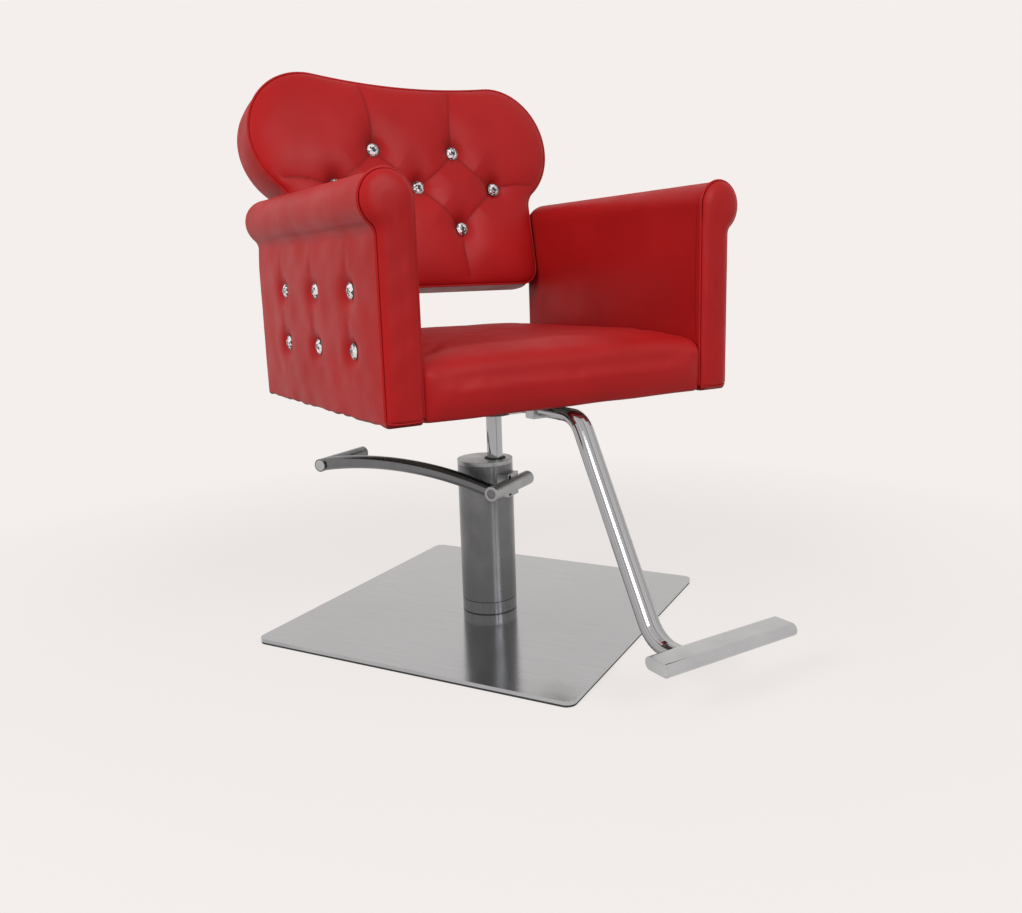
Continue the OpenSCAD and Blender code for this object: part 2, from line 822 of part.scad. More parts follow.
module seat_rail() {
    color(red) translate([0, seat_mid, seat_bottom]) difference() {
        rounded_plate(2 * seat_half, seat_depth, 6, rail_top - seat_bottom);
        translate([-seat_half + rail_w, -seat_depth / 2 + rail_w, -past])
            cube([2 * (seat_half - rail_w), seat_depth - 2 * rail_w, rail_top - seat_bottom + 2 * past]);
        for (s = [0, 1]) translate([0, -seat_mid, -seat_bottom]) mirror([s, 0, 0])
            arm_bolt_places() cylinder(r = bolt_r + seat_gap, h = arm_bolt_reach, $fn = 32);
    }
}

module seat_board() {
    color(wood) difference() {
        translate([-seat_half + rail_w, seat_mid - seat_depth / 2 + rail_w, seat_bottom])
            cube([2 * (seat_half - rail_w), seat_depth - 2 * rail_w, rail_top - seat_bottom]);
        translate([-arm_bolt_x, arm_front + rail_w + board_wall, seat_bottom + wood_t])
            cube([2 * arm_bolt_x, seat_depth - 2 * rail_w - 2 * board_wall, rail_top - seat_bottom]);
        mount_places(seat_bottom - past) cylinder(r = bolt_r + seat_gap, h = wood_t + 2 * past, $fn = 32);
        for (s = [0, 1]) mirror([s, 0, 0]) arm_bolt_places() translate([0, 0, -past])
            cylinder(r = bolt_r + seat_gap, h = arm_bolt_reach, $fn = 32);
    }
}

// Loop of n points on a rounded rectangle of half sizes a, b at height z.
function box_loop(a, b, p, z, n) = [
    for (i = [0:n - 1])
        let (
            t = 360 * i / n,
            c = cos(t),
            s = sin(t),
            k = pow(pow(abs(c), p) + pow(abs(s), p), -1 / p)
        )
        [a * k * c, b * k * s, z]
];

seat_level = 140;

// Top of the seat pad: level at the back, falling over a soft front edge.
function seat_top(x, y) =
    let (
        f = max(0, min(1, (-y - seat_level) / (seat_depth / 2 - seat_level))),
        u = abs(x) / seat_half,
        v = abs(y) / (seat_depth / 2)
    )
    seat_crown_z - (seat_crown_z - seat_front_z) * f * f - 5 * pow(u, 6) - 5 * pow(v, 8);

seat_rings = [0.15, 0.3, 0.45, 0.6, 0.74, 0.86, 0.95, 1];

module seat_pad() {
    n = 64;
    edge = 26;
    a = seat_half;
    b = seat_depth / 2;
    lid = [
        for (f = seat_rings)
            [for (p = box_loop((a - edge) * f, (b - edge) * f, 14, 0, n)) [p[0], p[1], seat_top(p[0], p[1])]]
    ];
    side = [
        for (q = [18, 40, 62, 80, 90])
            [
                for (p = box_loop(a - edge + edge * sin(q), b - edge + edge * sin(q), 14 + 16 * sin(q), 0, n))
                    [p[0], p[1], seat_top(p[0], p[1]) - edge * (1 - cos(q))]
            ]
    ];
    foot = [box_loop(a - 0.8, b - 0.8, 30, rail_top + 12, n), box_loop(a - 0.5, b - 0.5, 30, rail_top, n)];
    color(red) translate([0, seat_mid, 0])
        loft(concat(lid, side, foot), [0, 0, seat_top(0, 0)], [0, 0, rail_top]);
}

// ---- arms ----

// Upper curve of the arm: the hollow under the roll, then the roll, inset by i.
function arm_top(i) = concat(
    arc(arm_outer + waist_r, arm_waist_z, waist_r + i, 180, 180 - waist_turn, 5),
    arc(roll_x, roll_z, roll_r - i, -waist_turn, 180, 20)
);

// Outline of the arm from the front, x outwards and y up, anticlockwise from the inner bottom.
function arm_outline(i) = concat(
    [[inner_half + i, seat_bottom + i], [arm_outer - i, seat_bottom + i]],
    arm_top(i)
);

rear_t = 10;
arm_bolt_y = [-150, 0, 150];
arm_bolt_z = rail_top - 8.5;
arm_bolt_head_r = 7;
board_wall = 30;
arm_bolt_x = seat_half - rail_w - board_wall;
arm_bolt_reach = core_x + 14 - arm_bolt_x;

// Bolts along X from inside the seat board into the arm on the sitter's left.
module arm_bolt_places() {
    for (y = arm_bolt_y) translate([arm_bolt_x, y, arm_bolt_z]) rotate([0, 90, 0]) children();
}

module arm_core() {
    color(wood) difference() {
        translate([core_x, pad_front, seat_bottom])
            cube([core_t, arm_back - rear_t - pad_front, pad_top - seat_bottom]);
        arm_bolt_places() cylinder(r = bolt_r + seat_gap, h = arm_bolt_reach, $fn = 32);
        bracket_screw_places() translate([0, 0, -past])
            cylinder(r = thin_r + seat_gap, h = bracket_screw_l + 2 * past, $fn = 32);
    }
}

module arm_rear() {
    color(red) difference() {
        translate([core_x, arm_back - rear_t, seat_bottom]) cube([core_t, rear_t, pad_top - seat_bottom]);
        bracket_screw_places() translate([0, 0, -past])
            cylinder(r = thin_r + seat_gap, h = bracket_screw_l + 2 * past, $fn = 32);
    }
}

module arm_bolts() {
    color(steel) for (s = [0, 1]) mirror([s, 0, 0]) {
        arm_bolt_places() union() {
            translate([0, 0, -bolt_head_t]) cylinder(r = arm_bolt_head_r, h = bolt_head_t, $fn = 6);
            cylinder(r = bolt_r, h = arm_bolt_reach, $fn = 32);
        }
    }
}

// Upholstered slab lying on z = 0 with a crowned, dimpled face at height t.
function pad_face(x, y, a, b, t, crown, spots, sink) =
    let (
        u = x / a,
        v = y / b,
        pits = [
            for (s = spots)
                bell(norm([x, y] - s), 26) + 0.35 * bell(x - s[0], 12) * bell(y - s[1] - 24, 26)
        ]
    )
    t + crown * (1 - u * u) * (1 - v * v) - (len(spots) > 0 ? sink * min(1, pits * [for (s = spots) 1]) : 0);

module soft_slab(a, b, t, crown, spots, sink, edge, n, rings) {
    lid = [
        for (j = [1:rings])
            let (f = j / rings)
            [
                for (p = box_loop((a - edge) * f, (b - edge) * f, 12, 0, n))
                    [p[0], p[1], pad_face(p[0], p[1], a, b, t, crown, spots, sink)]
            ]
    ];
    side = [
        for (q = [35, 65, 90])
            [for (p = box_loop(a - edge + edge * sin(q), b - edge + edge * sin(q), 16, 0, n))
                [p[0], p[1], t - edge * (1 - cos(q))]]
    ];
    loft(concat(lid, side, [box_loop(a, b, 16, 0, n)]),
        [0, 0, pad_face(0, 0, a, b, t, crown, spots, sink)], [0, 0, 0]);
}

pad_mid_y = (arm_back + pad_front) / 2;
pad_half_y = (arm_back - pad_front) / 2;

inner_crown = 1.5;

module arm_inner_pad() {
    color(red) difference() {
        translate([core_x, pad_mid_y, (seat_bottom + pad_top) / 2]) rotate([90, 0, -90])
            soft_slab(pad_half_y, (pad_top - seat_bottom) / 2, core_in - inner_crown, inner_crown,
                [], 0, 5, 40, 3);
        arm_bolt_places() cylinder(r = bolt_r + soft_gap, h = arm_bolt_reach, $fn = 16);
    }
}

outer_mid_z = (seat_bottom + arm_waist_z) / 2;
arm_spots = [
    for (i = [-1:1]) for (z = [arm_button_low, arm_button_high])
        [i * arm_button_pitch - pad_mid_y, z - outer_mid_z]
];

outer_pad_t = arm_outer - outer_pad_x - 2;
outer_crown = 4;
arm_button_floor = outer_pad_t + outer_crown / 2 - button_sink;

module arm_outer_pad() {
    color(red) translate([outer_pad_x, pad_mid_y, outer_mid_z]) rotate([90, 0, 90]) difference() {
        soft_slab(pad_half_y, (arm_waist_z - seat_bottom) / 2, outer_pad_t, outer_crown,
            arm_spots, button_sink, 6, 56, 9);
        for (p = arm_spots) {
            translate([p[0], p[1], arm_button_floor]) cylinder(r = rim_r + 0.6, h = 30, $fn = 12);
        }
    }
}

module arm_roll() {
    color(red) translate([0, arm_back, 0]) rotate([90, 0, 0]) linear_extrude(height = arm_back - pad_front)
        polygon(concat(
            [[inner_half, pad_top], [outer_pad_x, pad_top], [outer_pad_x, arm_waist_z]],
            arm_top(0)
        ));
}

facing_round = 3;

module arm_facing() {
    color(red) translate([0, pad_front, 0]) rotate([90, 0, 0]) union() {
        linear_extrude(height = facing_t - facing_round) polygon(arm_outline(0));
        translate([0, 0, facing_t - facing_round])
            linear_extrude(height = facing_round) polygon(arm_outline(facing_round));
    }
}

module other_side() {
    mirror([1, 0, 0]) children();
}

module right_arm_core() { arm_core(); }
module right_arm_inner_pad() { arm_inner_pad(); }
module right_arm_outer_pad() { arm_outer_pad(); }
module right_arm_roll() { arm_roll(); }
module right_arm_facing() { arm_facing(); }
module right_arm_rear() { arm_rear(); }
module left_arm_core() { other_side() arm_core(); }
module left_arm_inner_pad() { other_side() arm_inner_pad(); }
module left_arm_outer_pad() { other_side() arm_outer_pad(); }
module left_arm_roll() { other_side() arm_roll(); }
module left_arm_facing() { other_side() arm_facing(); }
module left_arm_rear() { other_side() arm_rear(); }

// Welt cord along the front seam of each arm, from its foot outside to the seat inside.
piping_r = 2.5;
piping_off = piping_r + 0.2;
piping_low = seat_bottom + 4;
piping_end = seat_crown_z + 12;

module arm_piping() {
    flat = concat(
        [for (f = [0, 0.4, 0.9]) [arm_outer + piping_off, piping_low + f * (arm_waist_z - piping_low)]],
        arm_top(-piping_off),
        [for (f = [0.6, 0]) [inner_half - piping_off, piping_end + f * (roll_z - piping_end)]]
    );
    color(red) for (s = [-1, 1]) {
        cord([for (p = flat) [s * p[0], pad_front, p[1]]], piping_r, 6, false, [0, s, 0]);
    }
}

// ---- back ----

// Frame of the back: X to the side, Y up along the cushion, Z forwards from the front seam.
module back_frame() {
    translate([0, back_y, back_z]) rotate([90 - back_lean, 0, 0]) children();
}

dip_y = lobe_y + lobe_r - dip_drop;

// One side of the back's outline, from the bottom to the top, inset by i.
function back_side(i) = concat(
    [[back_half / 3, i], [2 * back_half / 3, i]],
    arc(back_half - back_corner_r, back_corner_r, back_corner_r - i, -90, 0, 4),
    [[back_half - i, (back_corner_r + fillet_y) / 2]],
    arc(back_half + fillet_r, fillet_y, fillet_r + i, 180, 180 + waist_angle, 4),
    arc(lobe_x, lobe_y, lobe_r - i, waist_angle + 8, top_angle, 12),
    [for (k = [1:4]) let (a = top_angle - 180 - (top_angle - 90) * k / 5)
        [(dip_r + i) * cos(a), dip_y + dip_r + (dip_r + i) * sin(a)]]
);

function back_outline(i) = concat([[0, i]], back_side(i), [[0, dip_y - i]], mirrored(back_side(i)));

function at_height(pts, z) = [for (p = pts) [p[0], p[1], z]];

row_high = 256;
row_mid = 187;
row_low = 108;
half_pitch = back_button_pitch / 2;
pleat_top_x = 96;
pleat_foot_x = 90;
back_spots = [
    [-half_pitch, row_high], [half_pitch, row_high],
    [-back_button_pitch, row_mid], [0, row_mid], [back_button_pitch, row_mid],
    [-half_pitch, row_low], [half_pitch, row_low]
];
pleats = concat(
    [for (s = [-1, 1]) for (t = [0, back_button_pitch]) [[s * half_pitch, row_high], [s * t, row_mid]]],
    [for (s = [-1, 1]) for (t = [0, back_button_pitch]) [[s * half_pitch, row_low], [s * t, row_mid]]],
    [for (s = [-1, 1]) [[s * half_pitch, row_high], [s * pleat_top_x, dip_y]]],
    [for (s = [-1, 1]) [[s * back_button_pitch, row_mid], [s * back_half, row_mid + 4]]],
    [for (s = [-1, 1]) [[s * half_pitch, row_low], [s * pleat_foot_x, 0]]]
);
back_crown = 24;
back_floor = 8;
pit_depth = 15;
pleat_depth = 6;
back_centre = [0, 195];

// Forward height of the tufted face; f is 0 at the middle and 1 at the seam.
function back_face(p, f) =
    let (
        pit = max([for (s = back_spots) bell(norm(p - s), 30)]),
        fold = max([for (s = pleats) bell(seg_dist(p, s[0], s[1]), 13)])
    )
    back_crown * sqrt(1 - pow(f, 3)) - (1 - pow(f, 6)) * max(pit_depth * pit, pleat_depth * fold);

module back_pad() {
    rim = back_outline(0);
    lid = [
        for (f = [0.1, 0.2, 0.3, 0.4, 0.5, 0.6, 0.7, 0.79, 0.87, 0.94, 0.98, 1])
            [
                for (q = rim)
                    let (p = back_centre + f * (q - back_centre))
                    [p[0], p[1], back_face(p, f)]
            ]
    ];
    side = [
        at_height(back_outline(-side_bulge), -20),
        at_height(back_outline(-side_bulge), -38),
        at_height(back_outline(0.5), -back_pad_depth)
    ];
    color(red) back_frame() difference() {
        loft(concat(lid, side), [0, back_centre[1], back_face(back_centre, 0)],
            [0, back_centre[1], -back_pad_depth]);
        for (p = back_spots) {
            translate([p[0], p[1], back_floor]) cylinder(r = rim_r + 0.6, h = 40, $fn = 12);
        }
    }
}

module back_shell() {
    color(red) back_frame() difference() {
        loft(
            [
                at_height(back_outline(0.5), -back_pad_depth), at_height(back_outline(0), -back_t + 14),
                at_height(back_outline(3), -back_t + 4), at_height(back_outline(10), -back_t)
            ],
            [0, back_centre[1], -back_pad_depth], [0, back_centre[1], -back_t]
        );
        translate([0, 0, -back_pad_depth - wood_t])
            linear_extrude(height = wood_t + 1) polygon(back_outline(shell_wall));
        back_screw_places() cylinder(r = thin_r + soft_gap, h = back_t / 2, $fn = 16);
    }
}

module back_board() {
    color(wood) back_frame() difference() {
        translate([0, 0, -back_pad_depth - wood_t])
            linear_extrude(height = wood_t) polygon(back_outline(shell_wall + soft_gap));
        back_screw_places() cylinder(r = thin_r + seat_gap, h = back_screw_l + past, $fn = 32);
    }
}

module back_piping() {
    color(red) back_frame() cord(at_height(back_outline(-piping_off), 0), piping_r, 6, true, [0, 0, 1]);
}

bracket_t = 4;
bracket_x = inner_half + 2;
bracket_low = 15;
bracket_w = 40;
bracket_foot_z = back_z + 3;
bracket_foot_h = 44;
bracket_in = back_half - 52;
bracket_reach = 70;
bracket_screw_l = 34;
back_screw_l = back_t - back_pad_depth - 5;

// Screws from behind into the back board, in the frame of the back.
module back_screw_places() {
    for (s = [-1, 1]) for (x = [back_half - 37, back_half - 12])
        translate([s * x, bracket_low + bracket_w / 2, -back_t]) children();
}

// Screws from behind into the arm core on the sitter's left.
module bracket_screw_places() {
    for (z = [10, bracket_foot_h - 10]) {
        translate([core_x + core_t / 2, arm_back, bracket_foot_z + z]) rotate([90, 0, 0]) children();
    }
}

module back_brackets() {
    color(dark) for (s = [0, 1]) mirror([s, 0, 0]) difference() {
        union() {
            translate([bracket_x, arm_back, bracket_foot_z])
                cube([core_x + core_t - bracket_x, bracket_t, bracket_foot_h]);
            back_frame() translate([bracket_x, bracket_low, -back_t - bracket_t])
                cube([bracket_t, bracket_w, bracket_reach]);
            back_frame() translate([bracket_in, bracket_low, -back_t - bracket_t])
                cube([bracket_x + bracket_t - bracket_in, bracket_w, bracket_t]);
        }
        translate([0, 0, seat_bottom]) cube([arm_outer, arm_back, roll_z - seat_bottom]);
        bracket_screw_places() translate([0, 0, -bracket_t - past])
            cylinder(r = thin_r + seat_gap, h = bracket_t + 2 * past, $fn = 32);
        back_frame() back_screw_places() translate([0, 0, -bracket_t - past])
            cylinder(r = thin_r + seat_gap, h = bracket_t + 2 * past, $fn = 32);
    }
}

spacer_r = 6;
spacer_y = back_y + 23;
spacer_z = back_z + 25;

module bracket_screw(length) {
    union() {
        translate([0, 0, -bracket_t - thin_head_t]) cylinder(r = thin_head_r, h = thin_head_t, $fn = 6);
        translate([0, 0, -bracket_t]) cylinder(r = thin_r, h = bracket_t + length, $fn = 32);
    }
}

module back_bolts() {
    color(dark) for (s = [0, 1]) mirror([s, 0, 0]) {
        bracket_screw_places() bracket_screw(bracket_screw_l);
        translate([back_half + side_bulge + soft_gap, spacer_y, spacer_z]) rotate([0, 90, 0])
            cylinder(r = spacer_r, h = back_clear - side_bulge - 2 * soft_gap, $fn = 32);
    }
    color(dark) back_frame() back_screw_places() bracket_screw(back_screw_l);
}

// ---- buttons ----

module button_places() {
    back_frame() for (p = back_spots) translate([p[0], p[1], back_floor]) children();
    for (s = [0, 1]) mirror([s, 0, 0])
        translate([outer_pad_x, pad_mid_y, outer_mid_z]) rotate([90, 0, 90])
            for (p = arm_spots) translate([p[0], p[1], arm_button_floor]) children();
}

module button_rims() {
    color(bright) button_places() difference() {
        cylinder(r = rim_r, h = rim_t, $fn = 12);
        translate([0, 0, rim_t / 2]) cylinder(r = gem_r + 0.4, h = rim_t, $fn = 12);
    }
}

module button_gems() {
    color(crystal) button_places() translate([0, 0, rim_t / 2]) union() {
        cylinder(r = gem_r, h = rim_t / 2, $fn = 8);
        translate([0, 0, rim_t / 2]) cylinder(r1 = gem_r, r2 = gem_r / 2, h = 3, $fn = 8);
    }
}

base_gasket();
base_plate();
base_screws();
column_foot();
column_tube();
column_cap();
rod_gland();
ram_cylinder();
pump_cylinder();
plunger_spring();
pump_plunger();
pump_housing();
housing_screws();
housing_cap();
lever_shaft();
lever_finger();
lever_hub();
hub_plug();
lever_arm();
pedal_bar();
pedal_plugs();
ram_rod();
ram_piston();
piston_seal();
swivel_washer();
retaining_screw();
swivel_hub();
mount_plate();
mount_bolts();
footrest_clamps();
clamp_screws();
footrest_tube();
footrest_bar();
footrest_plugs();
seat_board();
seat_rail();
seat_pad();
arm_bolts();
left_arm_core();
left_arm_inner_pad();
left_arm_outer_pad();
left_arm_roll();
left_arm_facing();
left_arm_rear();
right_arm_core();
right_arm_inner_pad();
right_arm_outer_pad();
right_arm_roll();
right_arm_facing();
right_arm_rear();
arm_piping();
back_board();
back_shell();
back_pad();
back_piping();
back_brackets();
back_bolts();
button_rims();
button_gems();
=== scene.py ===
import json
import math
import bpy
import numpy as np
from mathutils import Matrix, Vector


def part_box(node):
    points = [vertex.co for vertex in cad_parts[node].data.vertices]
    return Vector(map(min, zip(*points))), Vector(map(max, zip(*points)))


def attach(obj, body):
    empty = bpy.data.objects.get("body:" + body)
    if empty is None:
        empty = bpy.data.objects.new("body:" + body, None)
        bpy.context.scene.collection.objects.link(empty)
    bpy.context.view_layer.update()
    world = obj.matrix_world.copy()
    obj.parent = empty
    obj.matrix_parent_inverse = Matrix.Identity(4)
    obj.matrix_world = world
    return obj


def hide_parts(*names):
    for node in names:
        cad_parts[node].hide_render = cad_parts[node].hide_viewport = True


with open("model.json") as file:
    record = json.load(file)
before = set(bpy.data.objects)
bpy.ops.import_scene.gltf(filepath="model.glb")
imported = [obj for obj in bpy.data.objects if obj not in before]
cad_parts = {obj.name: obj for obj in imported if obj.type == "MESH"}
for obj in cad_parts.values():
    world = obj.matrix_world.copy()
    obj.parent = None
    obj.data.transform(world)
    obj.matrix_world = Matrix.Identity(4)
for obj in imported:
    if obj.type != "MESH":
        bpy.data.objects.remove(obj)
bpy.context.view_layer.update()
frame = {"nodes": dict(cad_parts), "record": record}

scene = bpy.context.scene
cadNodes = frame["nodes"]
tau = 2 * math.pi


def clearSelection():
    bpy.ops.object.select_all(action="DESELECT")


def pick(*pieces):
    clearSelection()
    for piece in pieces:
        piece.select_set(True)
    bpy.context.view_layer.objects.active = pieces[0]


def readPoints(piece):
    points = np.empty(len(piece.data.vertices) * 3)
    piece.data.vertices.foreach_get("co", points)
    return points.reshape(-1, 3)


def writePoints(piece, points):
    piece.data.vertices.foreach_set("co", np.asarray(points, dtype=np.float32).ravel())
    piece.data.update()


def paint(piece, name, values):
    layer = piece.data.attributes.new(name, "FLOAT", "POINT")
    layer.data.foreach_set("value", np.asarray(values, dtype=np.float32))


# a flat grid whose points are moved by place(s, t), with s and t from 0 to 1, which also tells
# how much painted shade each point gets in creases, pits, seams and hems
def gridPiece(name, across, along, place):
    clearSelection()
    bpy.ops.mesh.primitive_grid_add(x_subdivisions=across, y_subdivisions=along, size=1)
    piece = bpy.context.object
    piece.name = name
    spots = readPoints(piece)
    points, folds = place(spots[:, 0] + 0.5, spots[:, 1] + 0.5)
    writePoints(piece, points)
    if folds is not None:
        paint(piece, "fold", folds)
    return piece


def editAll(piece, *steps):
    pick(piece)
    bpy.ops.object.mode_set(mode="EDIT")
    bpy.ops.mesh.select_mode(type="VERT")
    bpy.ops.mesh.select_all(action="SELECT")
    for step, settings in steps:
        step(**settings)
    bpy.ops.object.mode_set(mode="OBJECT")


def mergeSeams(piece, gap=0.00002):
    editAll(piece, (bpy.ops.mesh.remove_doubles, {"threshold": gap}))


def closeUp(piece):
    editAll(piece, (bpy.ops.mesh.fill_holes, {"sides": 0}),
            (bpy.ops.mesh.select_all, {"action": "SELECT"}),
            (bpy.ops.mesh.normals_make_consistent, {"inside": False}))


def addModifier(piece, kind, **settings):
    pick(piece)
    bpy.ops.object.modifier_add(type=kind)
    modifier = piece.modifiers[-1]
    for key, value in settings.items():
        setattr(modifier, key, value)
    bpy.ops.object.modifier_apply(modifier=modifier.name)


def smooth(piece, angle):
    pick(piece)
    bpy.ops.object.shade_smooth_by_angle(angle=math.radians(angle))


def joined(name, pieces):
    pick(*pieces)
    bpy.ops.object.join()
    piece = bpy.context.object
    piece.name = name
    return piece


def placedCopy(piece, matrix):
    copy = piece.copy()
    copy.data = piece.data.copy()
    scene.collection.objects.link(copy)
    copy.data.transform(matrix)
    return copy


# the upholstery and its buttons all ride on the seat
def dress(piece, material):
    piece.data.materials.clear()
    piece.data.materials.append(material)
    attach(piece, "seat")


def bell(distance, width):
    return np.exp(-(distance / width) ** 2)


def smoothStep(low, high, value):
    part = np.clip((value - low) / (high - low), 0, 1)
    return part * part * (3 - 2 * part)


# gentle unevenness of stretched cover, from -1 to 1
def waves(points, size, seed):
    x, y, z = (points / size).T
    return (np.sin(2.1 * x + 1.7 * y + seed) * np.cos(1.3 * z - 2.3 * y + 2 * seed)
            + 0.5 * np.sin(4.7 * z + 3.1 * x - 1.9 * seed) * np.cos(3.9 * y + seed)) / 1.5


# camera

view = {
    "place": (-0.812, -1.364, 0.610), "turn": -31.8, "dip": 11.4, "roll": -1.72,
    "focalPixels": 902, "pixelsWide": 1022, "sensor": 36, "nearest": 0.01,
}


def addCamera():
    turn, dip, roll = (math.radians(view[key]) for key in ("turn", "dip", "roll"))
    ahead = Vector((-math.sin(turn) * math.cos(dip), math.cos(turn) * math.cos(dip), -math.sin(dip)))
    level = Vector((math.cos(turn), math.sin(turn), 0))
    upward = level.cross(ahead)
    right = math.cos(roll) * level + math.sin(roll) * upward
    top = math.cos(roll) * upward - math.sin(roll) * level
    clearSelection()
    bpy.ops.object.camera_add()
    camera = bpy.context.object
    turned = Matrix((right, top, -ahead)).transposed().to_4x4()
    camera.matrix_world = Matrix.Translation(view["place"]) @ turned
    camera.data.sensor_width = view["sensor"]
    camera.data.lens = view["focalPixels"] / view["pixelsWide"] * view["sensor"]
    camera.data.clip_start = view["nearest"]
    scene.camera = camera


addCamera()

# finishes


def addNode(tree, kind, links=None, **settings):
    node = tree.nodes.new(kind)
    for key, value in settings.items():
        setattr(node, key, value)
    for key, value in (links or {}).items():
        if isinstance(value, bpy.types.NodeSocket):
            tree.links.new(value, node.inputs[key])
        else:
            node.inputs[key].default_value = value
    return node


# a material and the nodes that make its look
class Tree:
    def __init__(self, name):
        self.material = bpy.data.materials.new(name)
        self.material.use_nodes = True
        self.tree = self.material.node_tree
        self.shader = self.tree.nodes["Principled BSDF"]
        self.coords = self.add("ShaderNodeTexCoord").outputs["Object"]

    def add(self, kind, links=None, **settings):
        return addNode(self.tree, kind, links, **settings)

    def feed(self, socket, value):
        if isinstance(value, bpy.types.NodeSocket):
            self.tree.links.new(value, self.shader.inputs[socket])
        else:
            self.shader.inputs[socket].default_value = value

    def noise(self, scale, detail=2.0, coords=None, rough=0.5):
        return self.add("ShaderNodeTexNoise", {"Vector": coords or self.coords, "Scale": scale,
                                               "Detail": detail, "Roughness": rough}).outputs["Fac"]

    def ranged(self, value, low, high, newLow, newHigh):
        return self.add("ShaderNodeMapRange", {"Value": value, "From Min": low, "From Max": high,
                                               "To Min": newLow, "To Max": newHigh}).outputs["Result"]

    def blend(self, amount, first, second):
        node = self.add("ShaderNodeMix", data_type="RGBA")
        for key, value in (("Factor_Float", amount), ("A_Color", first), ("B_Color", second)):
            socket = next(s for s in node.inputs if s.identifier == key)
            if isinstance(value, bpy.types.NodeSocket):
                self.tree.links.new(value, socket)
            else:
                socket.default_value = value if key == "Factor_Float" else (*value, 1)
        return next(s for s in node.outputs if s.identifier == "Result_Color")

    def calc(self, kind, first, second):
        return self.add("ShaderNodeMath", {0: first, 1: second}, operation=kind).outputs[0]

    def stretched(self, scale, turn=0.0):
        spin = (0, 0, math.radians(-turn))
        turned = self.add("ShaderNodeMapping", {"Vector": self.coords, "Rotation": spin}).outputs["Vector"]
        return self.add("ShaderNodeMapping", {"Vector": turned, "Scale": scale}).outputs["Vector"]

    def bump(self, height, distance, strength=1.0, under=None):
        links = {"Height": height, "Distance": distance, "Strength": strength}
        if under:
            links["Normal"] = under
        return self.add("ShaderNodeBump", links).outputs["Normal"]


# the darkest colour here is painted shade, laid into creases, pits, seams and hems
red = {
    "light": (0.45, 0.0125, 0.0135), "deep": (0.39, 0.0095, 0.0100), "fold": (0.17, 0.003, 0.004),
    "cloth": (0.34, 0.33, 0.32), "shine": 0.17, "smoothest": 0.38, "roughest": 0.50, "grazingRough": 0.15,
    "grainSize": 900, "grainDepth": 0.00006, "softSize": 35, "softDepth": 0.0006,
}


def makeLeatherette():
    t = Tree("redLeatherette")
    tone = t.blend(t.ranged(t.noise(7, 3), 0.3, 0.7, 0, 1), red["deep"], red["light"])
    # painted shade: the tone darkens where the attribute marks creases, pits, seams and hems
    fold = t.add("ShaderNodeAttribute", attribute_name="fold").outputs["Fac"]
    tone = t.blend(t.ranged(fold, 0, 1, 0, 0.9), tone, red["fold"])
    under = t.add("ShaderNodeAttribute", attribute_name="under").outputs["Fac"]
    t.feed("Base Color", t.blend(under, tone, red["cloth"]))
    grain = t.add("ShaderNodeTexVoronoi", {"Vector": t.coords, "Scale": red["grainSize"]},
                  feature="SMOOTH_F1").outputs["Distance"]
    soft = t.bump(t.noise(red["softSize"], 3), red["softDepth"], 0.35)
    t.feed("Normal", t.bump(grain, red["grainDepth"], 0.8, soft))
    grazing = t.add("ShaderNodeLayerWeight", {"Blend": 0.5}).outputs["Facing"]
    rough = t.ranged(t.noise(16, 4), 0.3, 0.7, red["smoothest"], red["roughest"])
    t.feed("Roughness", t.calc("ADD", rough, t.ranged(grazing, 0.72, 0.95, 0, red["grazingRough"])))
    t.feed("Specular IOR Level", red["shine"])
    return t.material


plate = {
    "dark": (0.42, 0.43, 0.445), "light": (0.52, 0.53, 0.545), "cloud": (0.39, 0.40, 0.41),
    "brushing": (1500, 9, 9), "turn": 30.4, "brushDepth": 0.00007, "smoothest": 0.10, "roughest": 0.15,
}


def makeBrushed():
    t = Tree("brushedPlate")
    lines = t.noise(1.0, 6, t.stretched(plate["brushing"], plate["turn"]), 0.7)
    cloud = t.noise(3.5, 3)
    tone = t.blend(t.ranged(lines, 0.35, 0.65, 0, 1), plate["dark"], plate["light"])
    t.feed("Base Color", t.blend(t.ranged(cloud, 0.3, 0.7, 0, 0.30), tone, plate["cloud"]))
    t.feed("Metallic", 1.0)
    t.feed("Roughness", t.ranged(cloud, 0.3, 0.7, plate["smoothest"], plate["roughest"]))
    t.feed("Normal", t.bump(lines, plate["brushDepth"], 0.8))
    return t.material


# colour, roughness and strength of the scratches
metals = {
    "brightChrome": ((0.42, 0.43, 0.44), 0.06, 0.05),
    "barChrome": ((0.52, 0.53, 0.545), 0.10, 0.05),
    "plugSteel": ((0.60, 0.61, 0.62), 0.3, 0.2),
    "darkLever": ((0.17, 0.173, 0.18), 0.18, 0.10),
    "satinHousing": ((0.36, 0.365, 0.375), 0.26, 0.2),
    "machinedSteel": ((0.50, 0.51, 0.52), 0.28, 0.3),
    "cupMetal": ((0.30, 0.30, 0.31), 0.12, 0.05),
    "polishedColumn": ((0.185, 0.188, 0.194), 0.24, 0.5),
}
scratches = {"flow": (40, 40, 900), "depth": 0.00002}
turning = {"flow": (6, 6, 900), "depth": 0.00003, "anisotropic": 0.92, "quarterTurn": 0.25}


